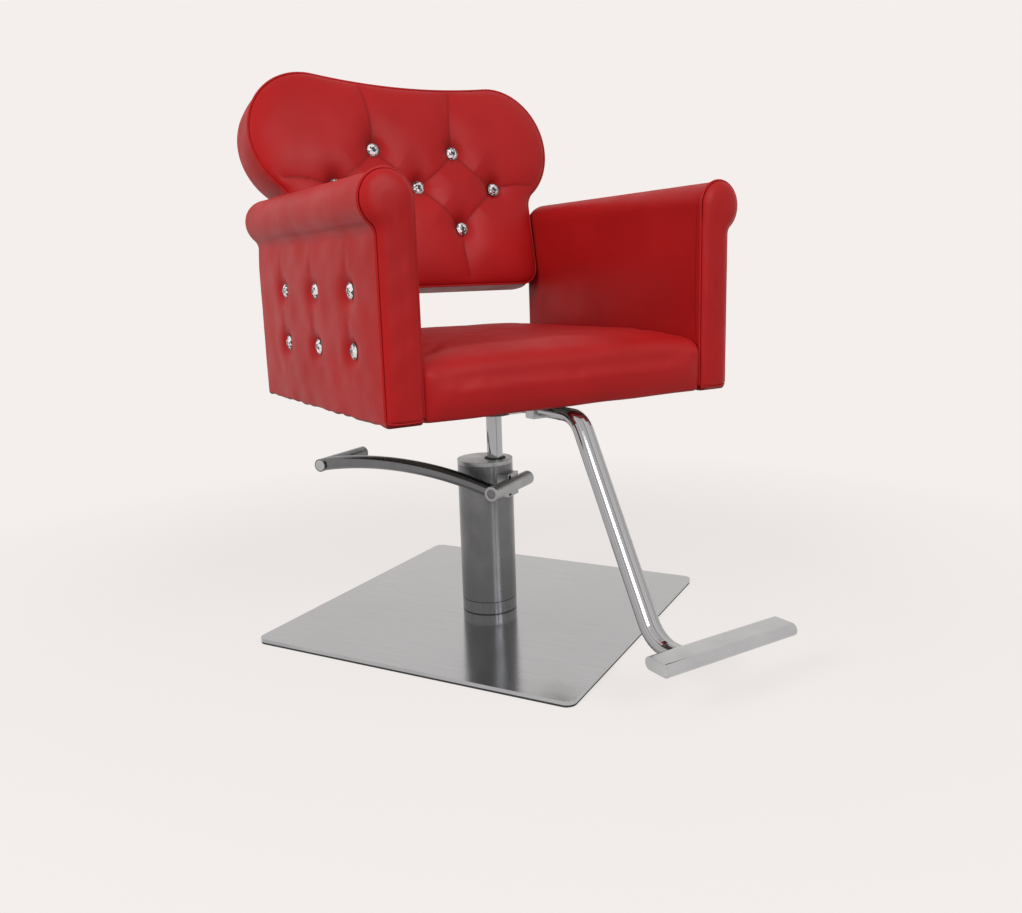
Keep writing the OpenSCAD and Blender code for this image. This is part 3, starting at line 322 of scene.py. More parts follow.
def makeMetal(name, lathe=False):
    colour, rough, scratch = metals[name]
    lay = turning if lathe else scratches
    t = Tree(name)
    lines = t.noise(1.0, 4, t.stretched(lay["flow"]), 0.6)
    smudge = t.noise(22, 3)
    dark = tuple(0.9 * c for c in colour)
    t.feed("Base Color", t.blend(t.ranged(smudge, 0.35, 0.7, 0, 1), colour, dark))
    t.feed("Metallic", 1.0)
    t.feed("Roughness", t.ranged(smudge, 0.3, 0.7, rough, rough * 1.5 + 0.01))
    edge = t.add("ShaderNodeBevel", {"Radius": 0.0006}, samples=4).outputs["Normal"]
    t.feed("Normal", t.bump(lines, lay["depth"], scratch, edge))
    if lathe:
        # the fine rings of a lathe draw reflections out upright
        around = t.add("ShaderNodeTangent", direction_type="RADIAL", axis="Z").outputs["Tangent"]
        t.feed("Anisotropic", turning["anisotropic"])
        t.feed("Anisotropic Rotation", turning["quarterTurn"])
        t.feed("Tangent", around)
    return t.material


# a touch brighter than the tube above it, with a dark joint line where it meets the tube and a painted shadow
# line where it meets the plate
ring = {
    "dark": (0.19, 0.193, 0.20), "light": (0.25, 0.255, 0.265), "joint": (0.07, 0.07, 0.07),
    "foot": (0.06, 0.06, 0.06), "jointLine": (0.0018, 0.0012), "plateShadowLine": (0.0012, 0.0020),
}


def makeFootRing():
    t = Tree("footRing")
    lines = t.noise(1.0, 4, t.stretched((600, 600, 8)), 0.6)
    height = t.add("ShaderNodeSeparateXYZ", {"Vector": t.coords}).outputs["Z"]
    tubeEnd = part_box("column_tube")[0][2]
    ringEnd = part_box("column_foot")[0][2]
    joint = t.ranged(height, tubeEnd - ring["jointLine"][0], tubeEnd - ring["jointLine"][1], 0, 1)
    # painted shadow where the ring stands on the plate
    foot = t.ranged(height, ringEnd + ring["plateShadowLine"][0], ringEnd + ring["plateShadowLine"][1], 0, 1)
    tone = t.blend(t.ranged(lines, 0.35, 0.65, 0, 1), ring["dark"], ring["light"])
    t.feed("Base Color", t.blend(foot, ring["foot"], t.blend(joint, tone, ring["joint"])))
    t.feed("Metallic", 1.0)
    t.feed("Roughness", t.ranged(lines, 0.3, 0.7, 0.13, 0.2))
    t.feed("Normal", t.bump(lines, 0.00002, 0.3))
    return t.material


# a drawn tube: its broad face is slightly crowned, with faint lines along its whole length
drawn = {
    "dark": (0.27, 0.275, 0.285), "light": (0.50, 0.51, 0.525), "half": 0.0175, "crown": 0.0034,
    "lines": 330, "lineDepth": 0.00010,
}


def makeDrawnTube():
    t = Tree("drawnTube")
    across = t.add("ShaderNodeSeparateXYZ", {"Vector": t.coords}).outputs["X"]
    share = t.calc("DIVIDE", across, drawn["half"])
    crown = t.calc("MULTIPLY", t.calc("MULTIPLY", share, share), -1.0)
    lines = t.add("ShaderNodeTexNoise", {"W": across, "Scale": drawn["lines"], "Detail": 3.0},
                  noise_dimensions="1D").outputs[0]
    t.feed("Base Color", t.blend(t.ranged(lines, 0.35, 0.6, 0, 1), drawn["dark"], drawn["light"]))
    t.feed("Metallic", 1.0)
    t.feed("Roughness", t.ranged(t.noise(22, 3), 0.3, 0.7, 0.07, 0.11))
    t.feed("Normal", t.bump(lines, drawn["lineDepth"], 0.7, t.bump(crown, drawn["crown"], 1.0)))
    return t.material


# colour, roughness and share of metal
plains = {"blackRubber": ((0.02, 0.02, 0.022), 0.6, 0.0), "blackSteel": ((0.035, 0.035, 0.04), 0.35, 0.2)}
plainGrain = {"size": 300, "depth": 0.0001}


def makePlain(name):
    colour, rough, metallic = plains[name]
    t = Tree(name)
    fine = t.noise(plainGrain["size"], 3)
    dark = tuple(0.8 * c for c in colour)
    t.feed("Base Color", t.blend(t.ranged(t.noise(12, 3), 0.3, 0.7, 0, 1), colour, dark))
    t.feed("Metallic", metallic)
    t.feed("Roughness", t.ranged(fine, 0.3, 0.7, rough - 0.05, rough + 0.08))
    t.feed("Normal", t.bump(fine, plainGrain["depth"], 0.4))
    return t.material


wood = {"dark": (0.60, 0.54, 0.46), "light": (0.70, 0.64, 0.56), "rings": 9.0, "wander": 5.0}


def makeWood():
    t = Tree("plywood")
    rings = t.add("ShaderNodeTexWave", {"Vector": t.stretched((1, 1, 6)), "Scale": wood["rings"],
                                        "Distortion": wood["wander"], "Detail": 3.0}).outputs["Fac"]
    t.feed("Base Color", t.blend(rings, wood["dark"], wood["light"]))
    t.feed("Roughness", t.ranged(rings, 0, 1, 0.6, 0.75))
    t.feed("Normal", t.bump(rings, 0.0002, 0.3))
    return t.material


# cut glass on foil, with painted reflections: some facets are painted white as glints and others dark
glass = {
    "dark": (0.05, 0.05, 0.06), "paintedGlint": (0.93, 0.94, 0.96), "sparkle": 420, "coat": 0.6,
    "coatRough": 0.02,
}


def makeStone():
    t = Tree("clearStone")
    facet = t.add("ShaderNodeAttribute", attribute_name="facet").outputs["Fac"]
    sparkle = t.noise(glass["sparkle"], 1)
    # painted glints: the facet share and the sparkle noise pick which facets are painted white and which dark
    paintedGlint = t.calc("ADD", facet, t.ranged(sparkle, 0.35, 0.65, -0.06, 0.06))
    t.feed("Base Color", t.blend(t.ranged(paintedGlint, 0.24, 0.54, 0, 1), glass["dark"], glass["paintedGlint"]))
    t.feed("Metallic", t.ranged(paintedGlint, 0.55, 0.85, 1.0, 0.15))
    t.feed("Roughness", t.ranged(sparkle, 0.3, 0.7, 0.03, 0.10))
    t.feed("Coat Weight", glass["coat"])
    t.feed("Coat Roughness", glass["coatRough"])
    return t.material


leatherette = makeLeatherette()
machined = makeMetal("machinedSteel")
satin = makeMetal("satinHousing")
cupMetal = makeMetal("cupMetal")
blackRubber = makePlain("blackRubber")
stone = makeStone()

slotFinish = {
    "rubber_sheet": blackRubber, "brushed_plate": makeBrushed(),
    "polished_column": makeMetal("polishedColumn", lathe=True), "chromed_tube": makeMetal("brightChrome"),
    "dark_lever": makeMetal("darkLever"), "plain_steel": machined,
    "black_steel": makePlain("blackSteel"), "ply": makeWood(),
    "red_cover": leatherette, "button_metal": cupMetal, "crystal": stone, "seal": blackRubber,
}
# nodes that look a little different from the rest of their slot
nodeFinish = {
    "footrest_clamps": machined, "clamp_screws": machined, "mount_bolts": machined,
    "column_cap": satin, "pump_housing": satin, "housing_cap": satin, "lever_hub": satin,
    "column_foot": makeFootRing(), "footrest_tube": makeDrawnTube(),
    "footrest_bar": makeMetal("barChrome"), "footrest_plugs": makeMetal("plugSteel"),
}
for part in frame["record"]["subparts"]:
    node = cadNodes[part["node"]]
    node.data.materials.clear()
    node.data.materials.append(nodeFinish.get(part["node"], slotFinish[part["material_slot"]]))
print("finishes given to", len(cadNodes), "nodes")

# seat cushion

seat = {
    "voxel": 0.006, "round": 0.031, "topShare": 0.6, "sideShare": 0.3, "footShare": 0.16,
    "fallStart": 0.14, "frontFall": 0.005, "crown": 0.004, "drop": 0.0015, "tuck": 0.005,
    "pressure": 3.0, "mostMove": 0.004, "heldFoot": 0.012, "uneven": 0.0007, "rest": 0.0004,
    "clothInset": 0.016,
}
cloth = {"quality": 4, "mass": 0.3, "stiffness": 12, "bending": 0.8, "frames": 20}


# air pressure inside the cover, with the held points fixed and the move of the others limited
def inflate(piece, pressure, mostMove, held):
    start = readPoints(piece)
    group = piece.vertex_groups.new(name="held")
    group.add([int(i) for i in np.nonzero(held)[0]], 1.0, "REPLACE")
    pick(piece)
    bpy.ops.object.modifier_add(type="CLOTH")
    modifier = piece.modifiers[-1]
    settings = modifier.settings
    settings.quality = cloth["quality"]
    settings.mass = cloth["mass"]
    settings.tension_stiffness = cloth["stiffness"]
    settings.compression_stiffness = cloth["stiffness"]
    settings.bending_stiffness = cloth["bending"]
    settings.use_pressure = True
    settings.uniform_pressure_force = pressure
    settings.vertex_group_mass = "held"
    settings.effector_weights.gravity = 0
    modifier.collision_settings.use_collision = False
    for step in range(1, cloth["frames"] + 1):
        scene.frame_set(step)
    swollen = piece.evaluated_get(bpy.context.evaluated_depsgraph_get())
    end = np.empty(len(start) * 3)
    swollen.data.vertices.foreach_get("co", end)
    piece.modifiers.remove(modifier)
    scene.frame_set(1)
    piece.vertex_groups.remove(group)
    move = end.reshape(-1, 3) - start
    far = np.linalg.norm(move, axis=1)[:, None]
    writePoints(piece, start + move * np.minimum(1, mostMove / np.maximum(far, 1e-9)))


# a block rounded most along its top front edge
def makeSeatBlock(middle, size):
    clearSelection()
    bpy.ops.mesh.primitive_cube_add(size=1, location=middle, scale=size)
    piece = bpy.context.object
    piece.name = "seatCushion"
    bpy.ops.object.transform_apply(location=True, rotation=True, scale=True)
    share = piece.data.attributes.new("bevel_weight_edge", "FLOAT", "EDGE")
    for edge in piece.data.edges:
        ends = [piece.data.vertices[k].co for k in edge.vertices]
        top = all(end.z > middle.z for end in ends)
        foot = all(end.z < middle.z for end in ends)
        front = all(end.y < middle.y for end in ends)
        side = seat["topShare"] if top else seat["footShare"] if foot else seat["sideShare"]
        share.data[edge.index].value = 1.0 if top and front else side
    addModifier(piece, "BEVEL", width=seat["round"], segments=8, limit_method="WEIGHT")
    piece.data.remesh_voxel_size = seat["voxel"]
    pick(piece)
    bpy.ops.object.voxel_remesh()
    return piece


def makeSeat():
    low = Vector(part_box("seat_rail")[0])
    high = Vector(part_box("seat_pad")[1])
    middle = (low + high) / 2
    size = high - low
    piece = makeSeatBlock(middle, size)
    points = readPoints(piece)
    u = (points[:, 0] - middle.x) / (size.x / 2)
    v = (points[:, 1] - middle.y) / (size.y / 2)
    ahead = middle.y - points[:, 1] - seat["fallStart"]
    front = np.clip(ahead / (size.y / 2 - seat["fallStart"]), 0, 1)
    upper = smoothStep(low.z + 0.02, high.z, points[:, 2])
    fall = seat["frontFall"] * front ** 2 + seat["crown"] * (np.abs(u) ** 3 + np.abs(v) ** 4)
    points[:, 2] -= upper * (fall + seat["drop"])
    rise = (points[:, 2] - low.z) / size.z
    points[:, 1] += seat["tuck"] * (1 - rise) ** 1.5 * smoothStep(0, -size.y / 2, points[:, 1] - middle.y)
    writePoints(piece, points)
    held = (points[:, 2] < low.z + seat["heldFoot"]) | (np.abs(points[:, 0]) > size.x / 2 - 0.001)
    inflate(piece, seat["pressure"], seat["mostMove"], held)
    addModifier(piece, "SMOOTH", factor=0.6, iterations=6)
    points = readPoints(piece)
    points += seat["uneven"] * waves(points, 0.05, 1.3)[:, None] * np.array([0, 0.6, 1.0])
    points[:, 0] = np.clip(points[:, 0], low.x + seat["rest"], high.x - seat["rest"])
    points[:, 2] = np.maximum(points[:, 2], low.z)
    writePoints(piece, points)
    addModifier(piece, "SUBSURF", levels=1, render_levels=1)
    # a plain cloth is stapled under the seat, inside its edge
    points = readPoints(piece)
    inside = np.minimum(size.x / 2 - np.abs(points[:, 0]), size.y / 2 - np.abs(points[:, 1] - middle.y))
    paint(piece, "under", (points[:, 2] < low.z + 0.0015) & (inside > seat["clothInset"]))
    smooth(piece, 60)
    dress(piece, leatherette)
    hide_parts("seat_pad", "seat_rail")


makeSeat()
print("seat cushion made")

# arms

rollLow, rollHigh = (Vector(corner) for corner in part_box("right_arm_roll"))
facingLow, facingHigh = (Vector(corner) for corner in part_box("right_arm_facing"))
arm = {
    "inner": rollLow.x, "thick": 0.056, "bottom": facingLow.z + 0.0006, "front": facingHigh.y - 0.006,
    "back": rollHigh.y, "frontMost": facingLow.y, "rollR": (rollHigh.x - rollLow.x) / 2,
    "waistR": 0.020, "corner": 0.005, "rearRound": 0.010, "rollRound": 0.024,
    "bulge": 0.0045, "innerBulge": 0.003, "innerFrom": 0.52, "slack": 0.0008, "hemPull": 0.0012,
    "stitch": 0.011, "stitchWide": 0.0011, "stitchDeep": 0.0005, "stitchFrom": 0.5,
    "step": 0.0045, "closeRows": 0.12, "closeShare": 0.042, "endShare": 0.10,
    "pitch": 0.141, "rows": (0.508, 0.594), "sink": 0.010,
}
arm["outer"] = arm["inner"] + arm["thick"]
arm["rollX"] = arm["inner"] + arm["rollR"]
arm["rollZ"] = rollHigh.z - arm["rollR"]
reach = arm["rollR"] + arm["waistR"]
waistX = arm["outer"] + arm["waistR"] - arm["rollX"]
arm["waistZ"] = arm["rollZ"] - math.sqrt(reach ** 2 - waistX ** 2)
arm["waistTurn"] = math.atan2(arm["rollZ"] - arm["waistZ"], waistX)


def arcPoints(centre, radius, start, end, count):
    turn = np.linspace(start, end, count)
    return np.stack([centre[0] + radius * np.cos(turn), centre[1] + radius * np.sin(turn)], 1)


def straight(first, last, count):
    return np.linspace(first, last, count)


def chained(parts):
    return np.concatenate([part if k == 0 else part[1:] for k, part in enumerate(parts)])


# outline of the arm seen from the front, from the inner bottom up over the roll and down outside
def armOutline(inset):
    corner = max(arm["corner"] - inset, 0.0003)
    inner, outer = arm["inner"] + inset, arm["outer"] - inset
    bottom = arm["bottom"] + inset
    turn = arm["waistTurn"]
    waist = (arm["outer"] + arm["waistR"], arm["waistZ"])
    middle = (arm["inner"] + arm["outer"]) / 2
    return chained([
        straight((middle, bottom), (inner + corner, bottom), 8),
        arcPoints((inner + corner, bottom + corner), corner, -math.pi / 2, -math.pi, 6),
        straight((inner, bottom + corner), (inner, arm["rollZ"]), 70),
        arcPoints((arm["rollX"], arm["rollZ"]), arm["rollR"] - inset, math.pi, -turn, 44),
        arcPoints(waist, arm["waistR"] + inset, math.pi - turn, math.pi, 8),
        straight((outer, arm["waistZ"]), (outer, bottom + corner), 60),
        arcPoints((outer - corner, bottom + corner), corner, 0, -math.pi / 2, 6),
        straight((outer - corner, bottom), (middle, bottom), 8),
    ])


armRim = armOutline(0)
slopeStep = 0.010
armSlope = (armOutline(slopeStep) - armRim) / slopeStep  # how the rim moves as it is set in
armCount = len(armRim) - 1


def overOutline(table, s):
    at = s * armCount
    low = np.clip(at.astype(int), 0, armCount - 1)
    part = (at - low)[:, None]
    return table[low] * (1 - part) + table[low + 1] * part


def armSpots():
    return [(k * arm["pitch"], z) for k in (-1, 0, 1) for z in arm["rows"]]


# a pit round each button, a bowed fold above it and a short one below that widens
# tuft also gives the width of the painted shade round each pit
tuft = {
    "pit": 0.019, "fold": 0.014, "share": 0.85, "bow": 0.003, "bowRate": 55,
    "upWide": 0.009, "upWiden": 0.006, "upWidenLong": 0.018, "upLong": 0.021,
    "downWide": 0.007, "downWiden": 0.08, "downLong": 0.013,
}


# how far the outer panel sinks at a point, and how much painted shade it gets there, round each pit and above
# each button
def outerDepth(y, z):
    depth = np.zeros(len(y))
    fold = np.zeros(len(y))
    for spotY, spotZ in armSpots():
        dy, dz = y - spotY, z - spotZ
        away = np.hypot(dy, dz)
        up = np.clip(dz, 0, None)
        down = np.clip(-dz, 0, None)
        aside = dy - tuft["bow"] * np.sin(up * tuft["bowRate"])
        upWide = tuft["upWide"] + tuft["upWiden"] * np.exp(-up / tuft["upWidenLong"])
        downWide = tuft["downWide"] + tuft["downWiden"] * down
        above = bell(aside, upWide) * np.exp(-up / tuft["upLong"]) * (dz > 0)
        below = bell(dy, downWide) * np.exp(-down / tuft["downLong"]) * (dz <= 0)
        depth = np.maximum(depth, np.maximum(bell(away, tuft["pit"]), tuft["share"] * (above + below)))
        fold = np.maximum(fold, 0.5 * np.maximum(bell(away, tuft["fold"]), above))
    return depth, fold


# rows lie close together at the front seam and over the rounded rear end, which sets them in
def armRows(t, roundR):
    mainShare = 1 - arm["endShare"]
    body = np.clip(t / mainShare, 0, 1)
    near, short = arm["closeRows"], arm["closeShare"]
    body = np.where(body < near, body * short / near, short + (body - near) * (1 - short) / (1 - near))
    turn = np.clip((t - mainShare) / arm["endShare"], 0, 1) * math.pi / 2
    y = arm["front"] + body * (arm["back"] - roundR - arm["front"]) + roundR * np.sin(turn)
    return y, roundR * (1 - np.cos(turn))


def makeArmCover(name):
    rollPart = np.zeros(len(armRim))
    rollPart[(armRim[:, 1] > arm["waistZ"]) & (armRim[:, 0] > arm["rollX"] - 0.01)] = 1
    rollPart = np.convolve(np.pad(rollPart, 8, mode="edge"), np.ones(17) / 17, mode="valid")
    rowsLong = int((arm["back"] - arm["front"]) / arm["step"]) + 12

    def place(s, t):
        flat = overOutline(armRim, s)
        slope = overOutline(armSlope, s)
        onRoll = np.interp(s * armCount, np.arange(len(armRim)), rollPart)
        y, inset = armRows(t, arm["rearRound"] + (arm["rollRound"] - arm["rearRound"]) * onRoll)
        z = flat[:, 1]
        onOuter = (flat[:, 0] > arm["outer"] - 0.0005) & (z < arm["waistZ"] + 0.001)
        onInner = (flat[:, 0] < arm["inner"] + 0.0005) & (z < arm["rollZ"] + 0.001)
        along = np.clip((y - arm["front"]) / (arm["back"] - arm["front"]), 0, 1)
        up = np.clip((z - arm["bottom"]) / (arm["waistZ"] - arm["bottom"]), 0, 1)
        crown = (1 - (2 * along - 1) ** 4) * (1 - (2 * up - 1) ** 6)
        depth, fold = outerDepth(y, z)
        inset = inset + onOuter * (arm["sink"] * depth - arm["bulge"] * crown * (1 - 0.4 * depth))
        upInner = np.clip((z - arm["innerFrom"]) / (arm["rollZ"] - arm["innerFrom"]), 0, 1)
        innerCrown = np.sin(math.pi * upInner) ** 2 * (1 - (2 * along - 1) ** 6)
        inset = inset - onInner * arm["innerBulge"] * innerCrown
        points = np.stack([flat[:, 0] + inset * slope[:, 0], y, z + inset * slope[:, 1]], 1)
        slack = arm["slack"] * waves(points, 0.045, 0.4)
        slack = slack * (1 - bell(y - arm["front"], 0.02)) * (onOuter + onRoll * 0.25)
        points[:, 0] += slack * -slope[:, 0]
        points[:, 2] += slack * -slope[:, 1]
        # the lower edge is pulled unevenly by its staples
        low = bell(z - arm["bottom"], 0.012) * (onOuter | (z < arm["bottom"] + 0.004))
        pull = np.sin(y * 97) * np.sin(y * 41 + 1) + 0.4 * np.sin(y * 173 + 2)
        points[:, 2] += arm["hemPull"] * low * pull
        # the stitch line is set in, and painted shade darkens it
        seam = bell(y - arm["front"] - arm["stitch"], arm["stitchWide"]) * onInner * (z > arm["stitchFrom"])
        points[:, 0] += arm["stitchDeep"] * seam
        # painted shade along the bottom hem, up to the rear end
        hem = (z < arm["bottom"] + 0.0035) * (t < 1 - arm["endShare"])
        return points, fold * onOuter + 0.55 * seam + 0.8 * hem

    piece = gridPiece(name, armCount, rowsLong, place)
    mergeSeams(piece)
    closeUp(piece)
    return piece


facing = {
    "lip": [(0.0014, 0.0), (0.0008, 0.12), (0.0004, 0.24)], "lipRise": 0.32, "rings": 15, "first": 0.0006,
    "half": 0.0277, "full": 0.0287, "power": 4.6, "rise": 1.04, "rollDome": 0.0040, "rollReach": 0.055,
    "footRound": 0.009, "footLow": 0.03, "footHigh": 0.06, "uneven": 0.0008,
    "hemUp": 0.0078, "hemSag": 0.0020, "hemDeep": 0.0012, "hemWide": 0.0015, "cordR": 0.0011,
}


# height of the puffed front over the seam, as a share of its depth
def facingRise(inset):
    left = np.clip(1 - inset / facing["full"], 0, 1)
    return facing["lipRise"] + (facing["rise"] - facing["lipRise"]) * (1 - left ** facing["power"])


def facingFoot(x, z):
    aside = np.minimum(x - arm["inner"], arm["outer"] - x)
    up = np.clip((z - arm["bottom"]) / facing["footRound"], 0, 1)
    return facingRise(aside) * (1 - (1 - up) ** 2.4)


def hemHeight(x):
    share = (x - (arm["inner"] + arm["outer"]) / 2) / (arm["thick"] / 2)
    return arm["bottom"] + facing["hemUp"] - facing["hemSag"] * (1 - np.clip(share, -1, 1) ** 2)


def makeFacing(name):
    deep = arm["front"] - arm["frontMost"]
    steps = [(k / facing["rings"]) ** 1.6 for k in range(facing["rings"] + 1)]
    insets = [facing["first"] + (facing["half"] - facing["first"]) * step for step in steps]
    rings = facing["lip"] + [(inset, facingRise(inset)) for inset in insets]
    tables = [armOutline(inset) for inset, rise in rings]
    last = len(rings) - 1

    def place(s, t):
        ring = np.round(t * last).astype(int)
        points = np.zeros((len(s), 3))
        rise = np.zeros(len(s))
        for k, table in enumerate(tables):
            here = ring == k
            points[here, 0::2] = overOutline(table, s[here])
            rise[here] = rings[k][1]
        x, z = points[:, 0], points[:, 2]
        onLip = ring < len(facing["lip"])
        low = 1 - smoothStep(arm["bottom"] + facing["footLow"], arm["bottom"] + facing["footHigh"], z)
        low = low * ~onLip
        rise = rise * (1 - low) + facingFoot(x, z) * low
        rollShare = smoothStep(0.0, facing["rollReach"], np.hypot(x - arm["rollX"], z - arm["rollZ"]))
        points[:, 1] = arm["front"] - deep * rise - facing["rollDome"] * (1 - rollShare)
        points[:, 1] += facing["uneven"] * waves(points, 0.04, 2.2) * smoothStep(0.5, 1, rise)
        # painted shade: darker along the hem seam, below the hem, and on the lip beside the piping
        overHem = z - hemHeight(x)
        hem = bell(overHem, facing["hemWide"]) * smoothStep(0.15, 0.5, rise)
        points[:, 1] += facing["hemDeep"] * hem
        under = 1 - smoothStep(-0.0035, -0.0015, overHem)
        return points, 0.6 * hem + 0.6 * under * (1 - hem) + 0.5 * onLip

    piece = gridPiece(name, armCount, last, place)
    mergeSeams(piece)
    addModifier(piece, "SMOOTH", factor=0.5, iterations=1)
    closeUp(piece)
    return piece


def tubePiece(name, path, radius, sides, closed, up):
    path = np.asarray(path)
    ahead = np.roll(path, -1, 0) - np.roll(path, 1, 0)
    if not closed:
        ahead[0], ahead[-1] = path[1] - path[0], path[-1] - path[-2]
    ahead /= np.linalg.norm(ahead, axis=1)[:, None]
    side = np.cross(ahead, np.array(up, dtype=float))
    side /= np.linalg.norm(side, axis=1)[:, None]
    top = np.cross(side, ahead)
    count = len(path)
    lengths = count if closed else count - 1

    def place(s, t):
        at = np.round(t * lengths).astype(int) % count
        turn = s * tau
        ringPoint = np.cos(turn)[:, None] * side[at] + np.sin(turn)[:, None] * top[at]
        return path[at] + radius * ringPoint, None

    piece = gridPiece(name, sides, lengths, place)
    mergeSeams(piece)
    closeUp(piece)
    return piece


piping = {"radius": 0.0021, "lift": 0.0012, "sides": 12, "footGap": 0.0065}
hemCord = {"innerGap": 0.0012, "outerGap": 0.0004, "sunk": 0.0002, "points": 40, "sides": 8}


def makeArmPiping(name):
    line = armOutline(-piping["lift"])
    line = line[(line[:, 1] > arm["bottom"] + piping["footGap"])]
    path = np.stack([line[:, 0], np.full(len(line), arm["front"]), line[:, 1]], 1)
    welt = tubePiece(name, path, piping["radius"], piping["sides"], False, (0, 1, 0))
    x = np.linspace(arm["inner"] + hemCord["innerGap"], arm["outer"] - hemCord["outerGap"], hemCord["points"])
    z = hemHeight(x) - facing["cordR"]
    deep = (arm["front"] - arm["frontMost"]) * facingFoot(x, z)
    path = np.stack([x, arm["front"] - deep + hemCord["sunk"], z], 1)
    cord = tubePiece("hem", path, facing["cordR"], hemCord["sides"], False, (0, 0, 1))
    return joined(name, [welt, cord])


def mirrorX(piece, name):
    copy = placedCopy(piece, Matrix.Scale(-1, 4, (1, 0, 0)))
    copy.name = name
    editAll(copy, (bpy.ops.mesh.normals_make_consistent, {"inside": False}))
    return copy


rightCover = makeArmCover("rightArmCover")
rightFacing = makeFacing("rightArmFacing")
rightPiping = makeArmPiping("rightArmPiping")
leftCover = mirrorX(rightCover, "leftArmCover")
leftFacing = mirrorX(rightFacing, "leftArmFacing")
leftPiping = mirrorX(rightPiping, "leftArmPiping")
for side, cover, panel, welt in (
        ("right", rightCover, rightFacing, rightPiping), ("left", leftCover, leftFacing, leftPiping)):
    for piece in (cover, panel, welt):
        smooth(piece, 60)
        dress(piece, leatherette)
    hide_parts(side + "_arm_inner_pad", side + "_arm_outer_pad", side + "_arm_roll",
                side + "_arm_rear")
    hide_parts(side + "_arm_facing")
    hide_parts("arm_piping")
print("arms made")

# back

back = {
    "y": 0.229, "z": 0.593, "lean": 11.2, "half": 0.252, "corner": 0.034, "fillet": 0.040,
    "lobeX": 0.196, "lobeY": 0.277, "lobeR": 0.115, "dip": 0.013, "thick": 0.088, "crown": 0.024,
    "pitch": 0.168, "rows": (0.256, 0.187, 0.108), "floor": 0.0072, "centre": (0.0, 0.195),
    "rearRound": 0.012, "rearCorner": 0.014, "sideBulge": 0.0022, "rearHollow": 0.004, "uneven": 0.0006,
    "steps": (70, 19, 35, 16, 90, 58), "frontRows": 104, "rearRows": 24, "cornerRows": 6, "least": 0.004,
}
backTurn = math.radians(90 - back["lean"])
backFrame = Matrix.Translation((0, back["y"], back["z"])) @ Matrix.Rotation(backTurn, 4, "X")
filletX = back["half"] + back["fillet"] - back["lobeX"]
lobeDrop = back["lobeR"] - back["dip"]
back["filletY"] = back["lobeY"] - math.sqrt((back["lobeR"] + back["fillet"]) ** 2 - filletX ** 2)
back["waist"] = math.atan2(back["filletY"] - back["lobeY"], filletX)
back["dipR"] = (back["lobeX"] ** 2 + lobeDrop ** 2 - back["lobeR"] ** 2) / (2 * back["dip"])
back["top"] = math.pi / 2 + math.atan2(back["lobeX"], back["dipR"] + lobeDrop)
back["dipY"] = back["lobeY"] + lobeDrop


# from the middle of the foot round the lobe at +x to the dip in the top edge, then mirrored
def backOutline(inset, cornerR=back["corner"]):
    corner = max(cornerR - inset, 0.001)
    edge = back["half"] - inset
    waist, top, steps = back["waist"], back["top"], back["steps"]
    fillet = (back["half"] + back["fillet"], back["filletY"])
    dip = (0, back["dipY"] + back["dipR"])
    half = chained([
        straight((0, inset), (edge - corner, inset), steps[0]),
        arcPoints((edge - corner, inset + corner), corner, -math.pi / 2, 0, steps[1]),
        straight((edge, inset + corner), (edge, back["filletY"]), steps[2]),
        arcPoints(fillet, back["fillet"] + inset, math.pi, math.pi + waist, steps[3]),
        arcPoints((back["lobeX"], back["lobeY"]), back["lobeR"] - inset, waist, top, steps[4]),
        arcPoints(dip, back["dipR"] + inset, top - math.pi, -math.pi / 2, steps[5]),
    ])
    return chained([half, half[::-1] * np.array([-1, 1])])


backCount = len(backOutline(0)) - 1
halfPitch = back["pitch"] / 2
highRow, midRow, lowRow = back["rows"]
backSpots = [(-halfPitch, highRow), (halfPitch, highRow), (-back["pitch"], midRow), (0, midRow),
             (back["pitch"], midRow), (-halfPitch, lowRow), (halfPitch, lowRow)]


# a pleat as a short line of points, bowed a little sideways
def bowed(first, last, bow, count=9):
    first, last = np.array(first), np.array(last)
    along = last - first
    side = np.array([-along[1], along[0]])
    return [first + along * k + side * bow * math.sin(math.pi * k) for k in np.linspace(0, 1, count)]


pleats = []
for sign in (-1, 1):
    high, wide, low = (sign * halfPitch, highRow), (sign * back["pitch"], midRow), (sign * halfPitch, lowRow)
    pleats += [
        bowed(high, (0, midRow), 0.03 * sign), bowed(high, wide, -0.03 * sign),
        bowed(low, (0, midRow), -0.03 * sign), bowed(low, wide, 0.03 * sign),
        bowed(high, (sign * 0.099, back["dipY"] + 0.012), 0.05 * sign),
        bowed(wide, (sign * (back["half"] + 0.012), midRow + 0.012), 0.05 * sign),
        bowed(low, (sign * 0.093, 0.0), -0.04 * sign),
    ]

# depths and widths of the pits at the buttons, the pleats and the short fold above each button, and widths of
# the painted shade along the creases
sinking = {
    "pit": 0.0172, "pitNear": 0.017, "pitFar": 0.042, "pleat": 0.0070, "pleatNear": 0.007,
    "pleatFar": 0.024, "pleatFade": 0.045, "fold": 0.005, "foldWide": 0.011, "foldWiden": 0.20,
    "foldLong": 0.026, "snap": 0.0011, "crease": 0.0016, "creaseMore": 0.0020, "creaseLong": 0.028,
}


# points close to a pleat are drawn onto it; returns them with their distance from it
def ontoPleats(flat):
    line = np.full(len(flat), 9.0)
    onto = flat.copy()
    for pleat in pleats:
        for first, last in zip(pleat[:-1], pleat[1:]):
            along = last - first
            part = np.clip(((flat - first) @ along) / (along @ along), 0, 1)
            foot = first + part[:, None] * along
            away = np.linalg.norm(flat - foot, axis=1)
            nearer = away < line
            line = np.where(nearer, away, line)
            onto[nearer] = foot[nearer]
    caught = line < sinking["snap"]
    return np.where(caught[:, None], onto, flat), np.where(caught, 0, line)
